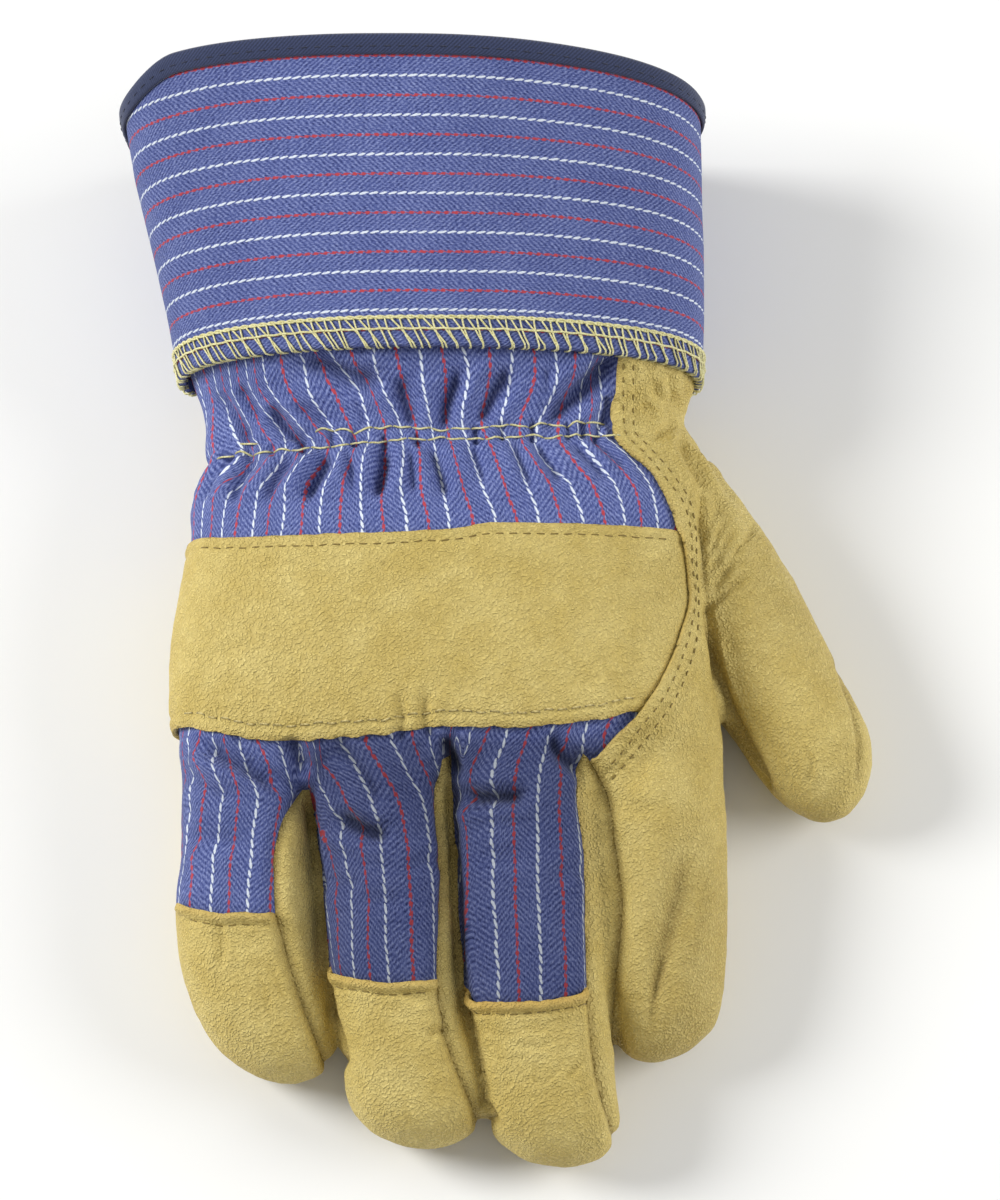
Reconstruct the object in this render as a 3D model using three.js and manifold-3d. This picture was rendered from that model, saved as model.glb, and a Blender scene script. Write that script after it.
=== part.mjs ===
// A right-hand work glove in its worn form: pigskin palm, striped cloth back, knuckle strap and safety cuff.
// Millimetres, +Z up. The glove lies palm down, fingers towards -Y, cuff towards +Y, thumb towards +X.
import * as THREE from 'three';
import { mergeVertices } from 'three/addons/utils/BufferGeometryUtils.js';
import Module from 'manifold-3d';

const wasm = await Module();
wasm.setup();

// Driving dimensions
const WALL = 1.6; // leather or cloth with its seam allowance
const GAP = 0.3; // between neighbouring pieces
const CUFF_WALL = 1.8; // two stiffened layers of cloth
const CUFF_FLOOR = 1.3; // the binding under the rim lifts the cuff by its own thickness
const RIM_BOW = 3.5; // the rim is cut this much longer over the back of the wrist
const BINDING_DEPTH = 5;
const BINDING_TAPE = 1;
const STRAP_WALL = 1.5;
const SQUARENESS = 2.3; // exponent of the rounded section, 2 is an ellipse
const GATHER_FOLDS = 7; // lengthwise folds across the back of the wrist
const BACK_SEAM = 16; // height of the side seam between cloth and palm
const GUSSET_LOW = 7; // height of the seam between gusset and finger front
const GUSSET_HIGH = 20; // height of the seam between gusset and the next finger's back
const CAP_SEAM = 10; // height of the seam round a fingertip
const STRAP_SEAM = 14; // the strap is sewn in at this height on the outer side
const ABOVE = 70; // higher than everything on the hand

const BODY_SEGMENTS = { over: 28, under: 8 };
const FINGER_SEGMENTS = { over: 12, under: 6 };

// The cuff's outer face, from the rim to the hem; lean moves its crown towards the outer side of the hand
const CUFF_ROWS = [
  { y: 121.5, left: -90.8, right: 49.2, bottom: 0, top: 74.5, lean: 7 },
  { y: 105, left: -88.4, right: 49.8, bottom: 0.3, top: 70.5, lean: 5 },
  { y: 87, left: -84.5, right: 50, bottom: 0.8, top: 67, lean: 3 },
  { y: 69, left: -80.7, right: 50, bottom: 1.3, top: 63, lean: 1 },
  { y: 52.3, left: -77.7, right: 50, bottom: 1.8, top: 60, lean: 0 },
];

// The hand from inside the cuff to the finger roots; gather is the depth of the folds on the back
const HAND_ROWS = [
  { y: 62, left: -76.8, right: 47.7, bottom: 3.8, top: 59.3, gather: 0 },
  { y: 52, left: -74, right: 47, bottom: 4, top: 56, gather: 0.9 },
  { y: 43, left: -71.3, right: 44.8, bottom: 4, top: 50.5, gather: 1.6 },
  { y: 38, left: -70, right: 47.5, bottom: 4, top: 49, gather: 0.7 },
  { y: 31, left: -72.2, right: 52, bottom: 3, top: 51, gather: 1.5 },
  { y: 22, left: -75, right: 54, bottom: 1, top: 52.5, gather: 0.6 },
  { y: 10, left: -75.4, right: 51.5, bottom: -1.5, top: 53, gather: 0 },
  { y: -4, left: -76.8, right: 49.8, bottom: -2.5, top: 52, gather: 0 },
  { y: -15, left: -77.3, right: 50.8, bottom: -2.5, top: 51, gather: 0 },
  { y: -31, left: -77, right: 52.7, bottom: -2.5, top: 48, gather: 0 },
  { y: -38, left: -76.3, right: 53.2, bottom: -1.5, top: 45, gather: 0 },
  { y: -43, left: -74.8, right: 52.8, bottom: 0.5, top: 41, gather: 0 },
  { y: -47, left: -72, right: 51, bottom: 4, top: 35.5, gather: 0 },
  { y: -49.5, left: -68, right: 47, bottom: 10, top: 29, gather: 0 },
];
const HAND_END = { x: -12, y: -50.5, z: 19.5 };

// Each finger from its root inside the hand to its tip
const FINGERS = {
  little: {
    rows: [
      { y: -36, left: -74.5, right: -47, bottom: 4, top: 37 },
      { y: -49, left: -75.3, right: -46.3, bottom: 2, top: 38.5 },
      { y: -63, left: -75.2, right: -43.6, bottom: 0.5, top: 36 },
      { y: -72, left: -76.5, right: -42.6, bottom: -1, top: 34.5 },
      { y: -84, left: -75.9, right: -41.8, bottom: -1.5, top: 32.5 },
      { y: -95, left: -72.8, right: -41.2, bottom: -1.5, top: 30 },
      { y: -104.5, left: -67.9, right: -41, bottom: -0.5, top: 26.5 },
      { y: -109.5, left: -63, right: -42.4, bottom: 2, top: 23.5 },
      { y: -113, left: -57.2, right: -45, bottom: 6, top: 19 },
    ],
    tip: { x: -50.5, y: -115.2, z: 12.5 },
  },
  ring: {
    rows: [
      { y: -36, left: -45, right: -12.5, bottom: 4, top: 43 },
      { y: -43, left: -44.3, right: -12.2, bottom: 3, top: 43.5 },
      { y: -52, left: -43.6, right: -12, bottom: 2, top: 42 },
      { y: -68, left: -41.8, right: -10.8, bottom: 0, top: 39.5 },
      { y: -84.5, left: -41, right: -10, bottom: -1.5, top: 37 },
      { y: -96, left: -40.2, right: -9, bottom: -1.5, top: 34 },
      { y: -108, left: -38.2, right: -7.3, bottom: -1.5, top: 31 },
      { y: -117, left: -36.8, right: -5.6, bottom: -0.5, top: 28 },
      { y: -123, left: -33.4, right: -6.4, bottom: 1, top: 25.5 },
      { y: -127.3, left: -28.1, right: -8.9, bottom: 4, top: 21.5 },
    ],
    tip: { x: -17.8, y: -130.4, z: 13 },
  },
  middle: {
    rows: [
      { y: -36, left: -11, right: 21.5, bottom: 4, top: 43.5 },
      { y: -43, left: -10.9, right: 21.7, bottom: 3, top: 44.5 },
      { y: -52, left: -10.8, right: 22, bottom: 2, top: 44 },
      { y: -68.5, left: -9.7, right: 23.2, bottom: 0, top: 41.5 },
      { y: -85, left: -9, right: 24.1, bottom: -1.5, top: 39 },
      { y: -96.5, left: -8, right: 25, bottom: -1.5, top: 36.5 },
      { y: -108, left: -6.2, right: 26.2, bottom: -1.5, top: 33 },
      { y: -118, left: -4.2, right: 27.4, bottom: -1, top: 29.5 },
      { y: -125, left: -1.6, right: 27.8, bottom: 0.5, top: 26.5 },
      { y: -129.5, left: 2.8, right: 26.2, bottom: 3, top: 23 },
      { y: -132.7, left: 8.2, right: 23.2, bottom: 6.5, top: 19 },
    ],
    tip: { x: 16, y: -134.6, z: 13 },
  },
  index: {
    rows: [
      { y: -36, left: 22.3, right: 51.5, bottom: 3, top: 36.5 },
      { y: -49, left: 23.3, right: 53.6, bottom: 1, top: 38 },
      { y: -65, left: 24.7, right: 54, bottom: -0.5, top: 34.5 },
      { y: -79, left: 25.4, right: 53.8, bottom: -1.5, top: 32 },
      { y: -91, left: 26, right: 53, bottom: -1.5, top: 29 },
      { y: -99.6, left: 26.9, right: 51.6, bottom: -0.5, top: 26 },
      { y: -104.7, left: 28.6, right: 47.2, bottom: 2, top: 22.5 },
      { y: -108.3, left: 31, right: 41.4, bottom: 6, top: 18 },
    ],
    tip: { x: 35.4, y: -110, z: 12.5 },
  },
};

// The thumb along its own axis, which starts at THUMB_ROOT and turns away from the fingers
const THUMB_ROOT = { x: 38, y: 34 };
const THUMB_TURN = THREE.MathUtils.degToRad(28.4);
const THUMB = {
  rows: [
    { y: 12, left: -22, right: 6, bottom: 9, top: 33 },
    { y: 0, left: -24, right: 15, bottom: 2, top: 39 },
    { y: -20, left: -22, right: 16.6, bottom: -1, top: 40 },
    { y: -38, left: -18.5, right: 17, bottom: -1.5, top: 38 },
    { y: -57, left: -16, right: 15, bottom: -1.5, top: 34.5 },
    { y: -70, left: -14.6, right: 13.9, bottom: -1.5, top: 31.5 },
    { y: -80, left: -13.8, right: 13.7, bottom: -0.5, top: 28.5 },
    { y: -87.7, left: -11.4, right: 10.8, bottom: 2, top: 25 },
    { y: -92.8, left: -8, right: 6.2, bottom: 6, top: 20 },
  ],
  tip: { x: -1.6, y: -96, z: 12.5 },
};

// Seam lines on the back of the glove, seen from above
const LEATHER_EDGE = [
  { x: 28.3, y: 70 },
  { x: 28, y: 53 },
  { x: 26, y: 40 },
  { x: 27, y: 34.5 },
  { x: 37, y: 23.5 },
  { x: 41.5, y: 12.5 },
  { x: 43.5, y: -3 },
  { x: 41, y: -14.5 },
  { x: 37, y: -24.5 },
  { x: 31.8, y: -32.6 },
  { x: 19.5, y: -45 },
];
const LITTLE_CLOTH_EDGE = [
  { x: -46.3, y: -49 },
  { x: -50.6, y: -57 },
  { x: -52.5, y: -66 },
  { x: -52.3, y: -76 },
  { x: -50, y: -85 },
  { x: -45.9, y: -98 },
  { x: -40.7, y: -110 },
];
const RING_CLOTH_EDGE = [
  { x: -13.4, y: -44 },
  { x: -14.6, y: -50 },
  { x: -13.2, y: -71 },
  { x: -14, y: -91 },
  { x: -12.6, y: -105 },
  { x: -5, y: -124 },
];
const MIDDLE_CLOTH_EDGE = [
  { x: 19.5, y: -42 },
  { x: 18.8, y: -50 },
  { x: 20.6, y: -67 },
  { x: 20.9, y: -95 },
  { x: 22.6, y: -114 },
  { x: 27.5, y: -129 },
];
const LITTLE_CAP_LINE = [
  { x: -90, y: -71 },
  { x: -77.5, y: -73.5 },
  { x: -64, y: -78.2 },
  { x: -50, y: -76 },
];
const RING_CAP_LINE = [
  { x: -40.7, y: -89.5 },
  { x: -34, y: -93 },
  { x: -24.5, y: -94.5 },
  { x: -12, y: -91 },
];
const MIDDLE_CAP_LINE = [
  { x: -8.4, y: -94.5 },
  { x: -5, y: -98 },
  { x: 4.5, y: -99.4 },
  { x: 14.5, y: -98 },
  { x: 22, y: -94 },
];
const STRAP_TOP_EDGE = [
  { x: -90, y: 13 },
  { x: -60, y: 9.4 },
  { x: -28, y: 8.3 },
  { x: 0, y: 10.4 },
];
const STRAP_BOTTOM_EDGE = [
  { x: 14, y: -35.6 },
  { x: -12, y: -36.3 },
  { x: -50, y: -38.7 },
  { x: -67, y: -35.5 },
  { x: -90, y: -30 },
];

// Row of a table at any y, by straight interpolation between its rows
function rowAt(rows, y) {
  let i = 1;
  while (i < rows.length - 1 && rows[i].y > y) {
    i += 1;
  }
  const a = rows[i - 1];
  const b = rows[i];
  const t = (a.y - y) / (a.y - b.y);
  const row = { y };
  for (const key of ['left', 'right', 'bottom', 'top', 'lean']) {
    row[key] = (a[key] ?? 0) + ((b[key] ?? 0) - (a[key] ?? 0)) * t;
  }
  return row;
}

function power(value, exponent) {
  return Math.sign(value) * Math.abs(value) ** exponent;
}

// One rounded section, grown outwards by grow and flattened where it lies on the surface
function sectionRing(row, grow, segments, { floor = 0, bow = 0 } = {}) {
  const half = (row.right - row.left) / 2 + grow;
  const rise = (row.top - row.bottom) / 2 + grow;
  const middle = { x: (row.left + row.right) / 2, z: (row.bottom + row.top) / 2 };
  const count = segments.over + segments.under;
  const points = [];
  for (let i = 0; i < count; i += 1) {
    const over = i <= segments.over;
    const angle = over ? (Math.PI * i) / segments.over
      : Math.PI * (1 + (i - segments.over) / segments.under);
    const fold = over && row.gather
      ? row.gather * Math.cos(2 * GATHER_FOLDS * angle) * Math.sin(angle) ** 0.5 : 0;
    const lean = over && row.lean ? row.lean * Math.sin(angle) : 0;
    const x = middle.x + half * power(Math.cos(angle), 2 / SQUARENESS) - lean;
    const z = middle.z + rise * power(Math.sin(angle), 2 / SQUARENESS) + fold;
    const y = row.y + bow * Math.max(0, Math.sin(angle));
    points.push(new THREE.Vector3(x, y, Math.max(z, floor - grow)));
  }
  return points;
}

// Triangles of a strip between two rings of the same count, facing out when b lies towards -Y of a
function joinRings(index, a, b, count) {
  for (let i = 0; i < count; i += 1) {
    const j = (i + 1) % count;
    index.push(a + i, a + j, b + i);
    index.push(a + j, b + j, b + i);
  }
}

function indexedGeometry(points, index) {
  const geometry = new THREE.BufferGeometry().setFromPoints(points);
  geometry.setIndex(index);
  return geometry;
}

// A closed solid through a table of sections, flat at its first row and pointed at its tip
function tubeGeometry({ rows, tip }, grow, segments) {
  const count = segments.over + segments.under;
  const points = rows.flatMap((row) => sectionRing(row, grow, segments));
  const index = [];
  for (let i = 0; i < rows.length - 1; i += 1) {
    joinRings(index, i * count, (i + 1) * count, count);
  }
  const start = rowAt(rows, rows[0].y);
  const startPoint = points.length;
  points.push(new THREE.Vector3((start.left + start.right) / 2, start.y, (start.bottom + start.top) / 2));
  points.push(new THREE.Vector3(tip.x, tip.y - grow, tip.z));
  const last = (rows.length - 1) * count;
  for (let i = 0; i < count; i += 1) {
    const j = (i + 1) % count;
    index.push(startPoint, j, i);
    index.push(startPoint + 1, last + i, last + j);
  }
  return indexedGeometry(points, index);
}

// A closed band: rings joined in a loop, the last to the first
function bandGeometry(rings) {
  const count = rings[0].length;
  const index = [];
  for (let i = 0; i < rings.length; i += 1) {
    joinRings(index, i * count, ((i + 1) % rings.length) * count, count);
  }
  return indexedGeometry(rings.flat(), index);
}

function toManifold(geometry) {
  const bare = geometry.clone();
  bare.deleteAttribute('normal');
  bare.deleteAttribute('uv');
  const merged = mergeVertices(bare, 1e-4);
  return new wasm.Manifold(new wasm.Mesh({
    numProp: 3,
    vertProperties: new Float32Array(merged.attributes.position.array),
    triVerts: new Uint32Array(merged.index.array),
  }));
}

function unite(solids) {
  return solids.reduce((whole, solid) => whole.add(solid));
}

// The largest body of a cut piece, without the crumbs and needle-thin faces that a cut leaves beside a seam
const FINEST = 0.03;
function mainBody(solid) {
  return solid.decompose().sort((a, b) => b.volume() - a.volume())[0].asOriginal().simplify(FINEST);
}

// An outline moved outwards by distance; its points run anticlockwise
function grownOutline(outline, distance) {
  const count = outline.length;
  const normals = outline.map((point, i) => {
    const next = outline[(i + 1) % count];
    return new THREE.Vector2(next.y - point.y, point.x - next.x).normalize();
  });
  return outline.map((point, i) => {
    const a = normals[(i + count - 1) % count];
    const b = normals[i];
    const scale = distance / Math.max(0.3, 1 + a.dot(b));
    return { x: point.x + (a.x + b.x) * scale, y: point.y + (a.y + b.y) * scale };
  });
}

// An upright block over an outline, between two heights
function block({ outline, from, to = ABOVE }, grow = 0) {
  const points = outline.map((point) => new THREE.Vector2(point.x, point.y));
  const turned = THREE.ShapeUtils.area(points) < 0 ? [...outline].reverse() : outline;
  const grown = grownOutline(turned, grow).map((point) => new THREE.Vector2(point.x, point.y));
  const geometry = new THREE.ExtrudeGeometry(new THREE.Shape(grown), {
    depth: to - from + 2 * grow,
    bevelEnabled: false,
  });
  geometry.translate(0, 0, from - grow);
  return toManifold(geometry);
}

// Hand and fingers as one solid, grown outwards; a negative growth gives the hollow inside
function handSolid(grow) {
  const mouth = grow < 0 ? [{ ...HAND_ROWS[0], y: HAND_ROWS[0].y + 5 }] : [];
  const hand = tubeGeometry({ rows: [...mouth, ...HAND_ROWS], tip: HAND_END }, grow, BODY_SEGMENTS);
  const fingers = Object.values(FINGERS).map((finger) => tubeGeometry(finger, grow, FINGER_SEGMENTS));
  return unite([hand, ...fingers].map(toManifold));
}

function thumbSolid(grow) {
  const geometry = tubeGeometry(THUMB, grow, FINGER_SEGMENTS);
  geometry.rotateZ(THUMB_TURN);
  geometry.translate(THUMB_ROOT.x, THUMB_ROOT.y, 0);
  return toManifold(geometry);
}

// Midway between two neighbouring fingers, from their roots to past their tips
function lineBetween(left, right, fromY, toY, steps = 8) {
  const line = [];
  for (let i = 0; i <= steps; i += 1) {
    const y = fromY + ((toY - fromY) * i) / steps;
    line.push({ x: (rowAt(left.rows, y).right + rowAt(right.rows, y).left) / 2, y });
  }
  return line;
}

// A gusset takes the inner side of one finger, the web, and the lower side of the next finger
const NEXT_SIDE = 8; // how far a gusset reaches round the next finger
function gussetBlocks(left, right, clothEdge) {
  const start = clothEdge[0].y;
  const end = clothEdge.at(-1).y;
  const between = lineBetween(left, right, start, end);
  const nextSide = between.map(({ x, y }) => ({ x: x + NEXT_SIDE, y }));
  return [
    { outline: [...clothEdge, ...[...between].reverse()], from: GUSSET_LOW },
    { outline: [...between, ...nextSide.reverse()], from: GUSSET_LOW, to: GUSSET_HIGH },
  ];
}

function capBlock(capLine, left, right) {
  const past = -145;
  return [{ outline: [...capLine, ...right, { x: right.at(-1).x, y: past }, { x: left[0].x, y: past },
    ...left], from: CAP_SEAM }];
}

const hollow = handSolid(-WALL);
const outside = handSolid(0);
const thumbHollow = thumbSolid(-WALL);
const thumbShell = thumbSolid(0).subtract(thumbHollow).subtract(handSolid(GAP));
const handShell = outside.subtract(hollow).subtract(thumbHollow);

const { little, ring, middle, index } = FINGERS;
const littleRing = lineBetween(little, ring, -76, -113);
const ringMiddleUpper = lineBetween(ring, middle, -91, -130);
const middleIndex = lineBetween(middle, index, -94, -112);
const backOutline = [{ x: -95, y: 70 }, ...LEATHER_EDGE, ...MIDDLE_CLOTH_EDGE.slice(1, 4),
  { x: 20.9, y: -105 }, { x: -95, y: -105 }];

// Cut from the shell in this order, each taking its seam gap with it; what is left is the palm
const REGIONS = {
  gusset_little_ring: gussetBlocks(little, ring, LITTLE_CLOTH_EDGE),
  gusset_ring_middle: gussetBlocks(ring, middle, RING_CLOTH_EDGE),
  gusset_middle_index: gussetBlocks(middle, index, MIDDLE_CLOTH_EDGE),
  little_tip: capBlock(LITTLE_CAP_LINE, [{ x: -90, y: -120 }], littleRing),
  ring_tip: capBlock(RING_CAP_LINE, [...littleRing].reverse().slice(0, 6), ringMiddleUpper),
  middle_tip: capBlock(MIDDLE_CAP_LINE, [...ringMiddleUpper].reverse(), middleIndex),
  back_cloth: [{ outline: backOutline, from: BACK_SEAM }],
};

const solids = { thumb: mainBody(thumbShell) };
let rest = handShell;
for (const [name, blocks] of Object.entries(REGIONS)) {
  solids[name] = mainBody(rest.intersect(unite(blocks.map((part) => block(part)))));
  rest = rest.subtract(unite(blocks.map((part) => block(part, GAP))));
}
solids.palm = mainBody(rest);

// The strap lies on the cloth and ends at the leather edge
const strapUnder = { rows: HAND_ROWS, tip: HAND_END };
const strapLayer = toManifold(tubeGeometry(strapUnder, GAP + STRAP_WALL, BODY_SEGMENTS))
  .subtract(toManifold(tubeGeometry(strapUnder, GAP, BODY_SEGMENTS)));
const strapOutline = [...STRAP_TOP_EDGE, ...LEATHER_EDGE.slice(5, 10), ...STRAP_BOTTOM_EDGE];
solids.knuckle_strap = mainBody(strapLayer.intersect(block({ outline: strapOutline, from: STRAP_SEAM })));

function cuffRing(y, grow) {
  const rim = CUFF_ROWS[0].y;
  const share = Math.max(0, (y - CUFF_ROWS.at(-1).y) / (rim - CUFF_ROWS.at(-1).y));
  return sectionRing(rowAt(CUFF_ROWS, y), grow, BODY_SEGMENTS, { floor: CUFF_FLOOR, bow: RIM_BOW * share });
}

const cuffOuter = CUFF_ROWS.map((row) => cuffRing(row.y, 0));
const cuffInner = CUFF_ROWS.map((row) => cuffRing(row.y, -CUFF_WALL)).reverse();
const cuffGeometry = bandGeometry([...cuffOuter, ...cuffInner]);

// The binding's section as it wraps the rim: y past the rim, growth from the cuff's outer face
const inside = -CUFF_WALL - GAP;
const BINDING_SECTION = [
  { past: GAP + BINDING_TAPE, grow: GAP + BINDING_TAPE },
  { past: -BINDING_DEPTH, grow: GAP + BINDING_TAPE },
  { past: -BINDING_DEPTH, grow: GAP },
  { past: GAP, grow: GAP },
  { past: GAP, grow: inside },
  { past: -BINDING_DEPTH, grow: inside },
  { past: -BINDING_DEPTH, grow: inside - BINDING_TAPE },
  { past: GAP + BINDING_TAPE, grow: inside - BINDING_TAPE },
];
const bindingGeometry = bandGeometry(
  BINDING_SECTION.map(({ past, grow }) => cuffRing(CUFF_ROWS[0].y + past, grow)),
);

function toGeometry(solid) {
  const mesh = solid.getMesh();
  const geometry = new THREE.BufferGeometry();
  geometry.setAttribute('position', new THREE.BufferAttribute(new Float32Array(mesh.vertProperties), 3));
  geometry.setIndex(new THREE.BufferAttribute(new Uint32Array(mesh.triVerts), 1));
  return geometry;
}

const leather = new THREE.MeshStandardMaterial({ color: '#d2c17a', roughness: 0.72, metalness: 0 });
const cloth = new THREE.MeshStandardMaterial({ color: '#5362a6', roughness: 0.9, metalness: 0 });
const tape = new THREE.MeshStandardMaterial({ color: '#363f5c', roughness: 0.88, metalness: 0 });

const glove = new THREE.Group();
function addPiece(name, geometry, material) {
  const mesh = new THREE.Mesh(geometry, material);
  mesh.name = name;
  glove.add(mesh);
}

for (const [name, solid] of Object.entries(solids)) {
  addPiece(name, toGeometry(solid), name === 'back_cloth' ? cloth : leather);
}
addPiece('cuff', cuffGeometry, cloth);
addPiece('cuff_binding', bindingGeometry, tape);

// The origin is the middle of the glove's box, on the surface that it rests on
const centre = new THREE.Box3().setFromObject(glove).getCenter(new THREE.Vector3());
glove.position.set(-centre.x, -centre.y, 0);

export default glove;
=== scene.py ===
import math

import bmesh
import bpy
import numpy as np
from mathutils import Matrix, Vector, noise
from mathutils.bvhtree import BVHTree
from mathutils.kdtree import KDTree


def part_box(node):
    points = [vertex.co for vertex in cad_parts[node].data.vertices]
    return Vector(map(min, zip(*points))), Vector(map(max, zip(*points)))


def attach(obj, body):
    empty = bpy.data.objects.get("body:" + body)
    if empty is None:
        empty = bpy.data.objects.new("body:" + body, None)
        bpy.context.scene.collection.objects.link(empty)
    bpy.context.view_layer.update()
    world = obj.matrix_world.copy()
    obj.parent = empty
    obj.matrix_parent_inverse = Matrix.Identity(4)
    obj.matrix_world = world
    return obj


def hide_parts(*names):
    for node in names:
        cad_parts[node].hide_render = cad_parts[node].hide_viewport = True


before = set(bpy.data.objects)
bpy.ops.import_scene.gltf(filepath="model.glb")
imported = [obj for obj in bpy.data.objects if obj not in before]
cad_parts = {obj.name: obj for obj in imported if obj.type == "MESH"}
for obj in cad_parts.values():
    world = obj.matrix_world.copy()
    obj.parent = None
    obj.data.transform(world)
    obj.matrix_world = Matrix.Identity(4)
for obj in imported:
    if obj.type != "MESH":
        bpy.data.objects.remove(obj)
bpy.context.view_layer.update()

# The filled-out shape
# The glove stands out as if a hand were in it. This smooth closed form of hand, fingers and thumb, in mm, is
# what the leather and cloth pieces are cut from further down, so that they meet along their seams.
SQUARENESS = 2.3
RING_STEP = 1.5
RING_POINTS = 96
FORM_VOXEL = 1.2
SMOOTHING_ROUNDS = 18
SMOOTHING_LOSS = 0.25

# Rows are y, left, right, bottom, top; a tip is x, y, z
HAND_ROWS = [
    (74, -77.6, 47.6, 4.4, 60.5), (62, -76.8, 47.7, 3.8, 59.3), (52, -74, 47, 4, 56),
    (43, -71, 43.6, 4, 50.2), (38, -71.6, 46, 4, 49), (33, -70.6, 48.5, 4, 49.6),
    (27, -73.2, 51.5, 2, 51.8), (21, -74.6, 52.5, 1, 52.6), (10, -73.8, 51, -1.5, 53),
    (-4, -76, 49.8, -2.5, 52), (-15, -77.3, 50.8, -2.5, 51), (-31, -77, 52.7, -2.5, 48),
    (-38, -76.3, 53.2, -1.5, 45), (-43, -74.8, 52.8, 0.5, 41), (-47, -72, 51, 4, 35.5),
    (-49.5, -68, 47, 10, 29),
]
HAND_TIP = (-12, -50.5, 19.5)
LITTLE_ROWS = [
    (-36, -74.5, -47, 4, 37), (-49, -75.3, -46.3, 2, 38.5), (-63, -75.2, -43.6, 0.5, 36),
    (-72, -76.5, -42.6, -1, 34.5), (-84, -75.9, -41.8, -1.5, 32.5), (-95, -72.8, -40.3, -1.5, 30),
    (-104.5, -67.9, -39.2, -0.5, 26.5), (-109.5, -63, -40.1, 2, 23.5), (-113, -57.2, -42.4, 6, 19),
]
LITTLE_TIP = (-50.5, -115.2, 12.5)
RING_ROWS = [
    (-36, -45, -12.5, 4, 43), (-43, -44.3, -12.2, 3, 43.5), (-52, -43.6, -12, 2, 42),
    (-68, -41.8, -10.8, 0, 39.5), (-84.5, -40.8, -10, -1.5, 37), (-96, -39.1, -9, -1.5, 34),
    (-108, -36.5, -5.3, -1.5, 31), (-117, -36, -3.4, -0.5, 28), (-123, -33.2, -4.4, 1, 25.5),
    (-127.3, -28.1, -7.4, 4, 21.5),
]
RING_TIP = (-17.8, -130.4, 13)
MIDDLE_ROWS = [
    (-36, -11, 21.5, 4, 43.5), (-43, -10.9, 21.7, 3, 44.5), (-52, -10.8, 22, 2, 44),
    (-68.5, -9.7, 23.2, 0, 41.5), (-85, -9, 24.1, -1.5, 39), (-96.5, -8, 25, -1.5, 36.5),
    (-108, -6.2, 26.2, -1.5, 33), (-118, -4.0, 27.4, -1, 29.5), (-125, -2.2, 27.8, 0.5, 26.5),
    (-129.5, 0.8, 26.2, 3, 23), (-132.7, 6.2, 23.2, 6.5, 19),
]
MIDDLE_TIP = (16, -134.6, 13)
INDEX_ROWS = [
    (-36, 22.3, 51.5, 3, 36.5), (-49, 23.3, 53.6, 1, 38), (-65, 24.7, 54, -0.5, 34.5),
    (-79, 25.4, 53.8, -1.5, 32), (-91, 26, 53, -1.5, 29), (-99.6, 26.9, 51.6, -0.5, 26),
    (-104.7, 28.6, 47.2, 2, 22.5), (-108.3, 31, 41.4, 6, 18),
]
INDEX_TIP = (35.4, -110, 12.5)
# The leather between the middle finger and the index finger's shoulder is pushed up by the hand
SHOULDER_ROWS = [
    (-40, 15.5, 37, 3, 35), (-52, 16, 38, 2, 34.5), (-68, 17.5, 39, 0, 31.5), (-85, 19, 39, -1, 28.5),
    (-96, 21, 38.5, -1, 24.5), (-102, 23.5, 37.5, 2, 19),
]
SHOULDER_TIP = (31.5, -107, 9)
INDEX_LEAN = 0.34
# The thumb's rows run along its own axis, from its root and turned away from the fingers
THUMB_ROWS = [
    (12, -22, 4, 9, 32), (0, -24, 11.6, 2, 38.5), (-20, -22, 14.2, -1, 38), (-38, -18.5, 15.8, -1.5, 34.5),
    (-57, -16, 15.2, -1.5, 32), (-70, -14.6, 14.1, -1.5, 30.5), (-80, -13.8, 13.9, -0.5, 28.5),
    (-87.7, -11.4, 10.8, 2, 25), (-92.8, -8, 6.2, 6, 20),
]
THUMB_TIP = (-1.6, -96, 12.5)
THUMB_ROOT = (38, 34)
THUMB_TURN = math.radians(28.4)


def curve_through(knots, values, at, level_last=()):
    """A smooth curve through values at knots that never swings past them; level_last columns end level."""
    knots = np.asarray(knots, float)
    values = np.asarray(values, float)
    gaps = np.diff(knots)[:, None]
    slopes = np.diff(values, axis=0) / gaps
    before, after = slopes[:-1], slopes[1:]
    turning = before * after <= 0
    total = np.where(turning, 1, before + after)
    lean = np.concatenate([slopes[:1], np.where(turning, 0, 2 * before * after / total), slopes[-1:]])
    for column in level_last:
        lean[-1, column] = 0
    i = np.clip(np.searchsorted(knots, at) - 1, 0, len(knots) - 2)
    t = ((at - knots[i]) / gaps[i, 0])[:, None]
    start, end = values[i], values[i + 1]
    bend = (2 * t**3 - 3 * t**2 + 1) * start + (3 * t**2 - 2 * t**3) * end
    return bend + gaps[i] * ((t**3 - 2 * t**2 + t) * lean[i] + (t**3 - t**2) * lean[i + 1])


def running_length(points):
    """How far along a line of points each of them is."""
    return np.concatenate([[0], np.cumsum(np.linalg.norm(np.diff(points, axis=0), axis=1))])


def limb_rows(rows, tip):
    """The rows of a limb every RING_STEP mm, closing round at its tip."""
    table = np.array([*rows, (tip[1], tip[0], tip[0], tip[2], tip[2])], float)
    profile = np.stack([table[:, 0], (table[:, 2] - table[:, 1]) / 2, (table[:, 4] - table[:, 3]) / 2], 1)
    length = running_length(profile)
    at = np.linspace(0, length[-1], round(length[-1] / RING_STEP))
    return curve_through(length, table, at, level_last=(0,))


def signed_power(value, power):
    """A power that keeps the sign, which squares off an ellipse."""
    return np.sign(value) * np.abs(value) ** power


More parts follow.
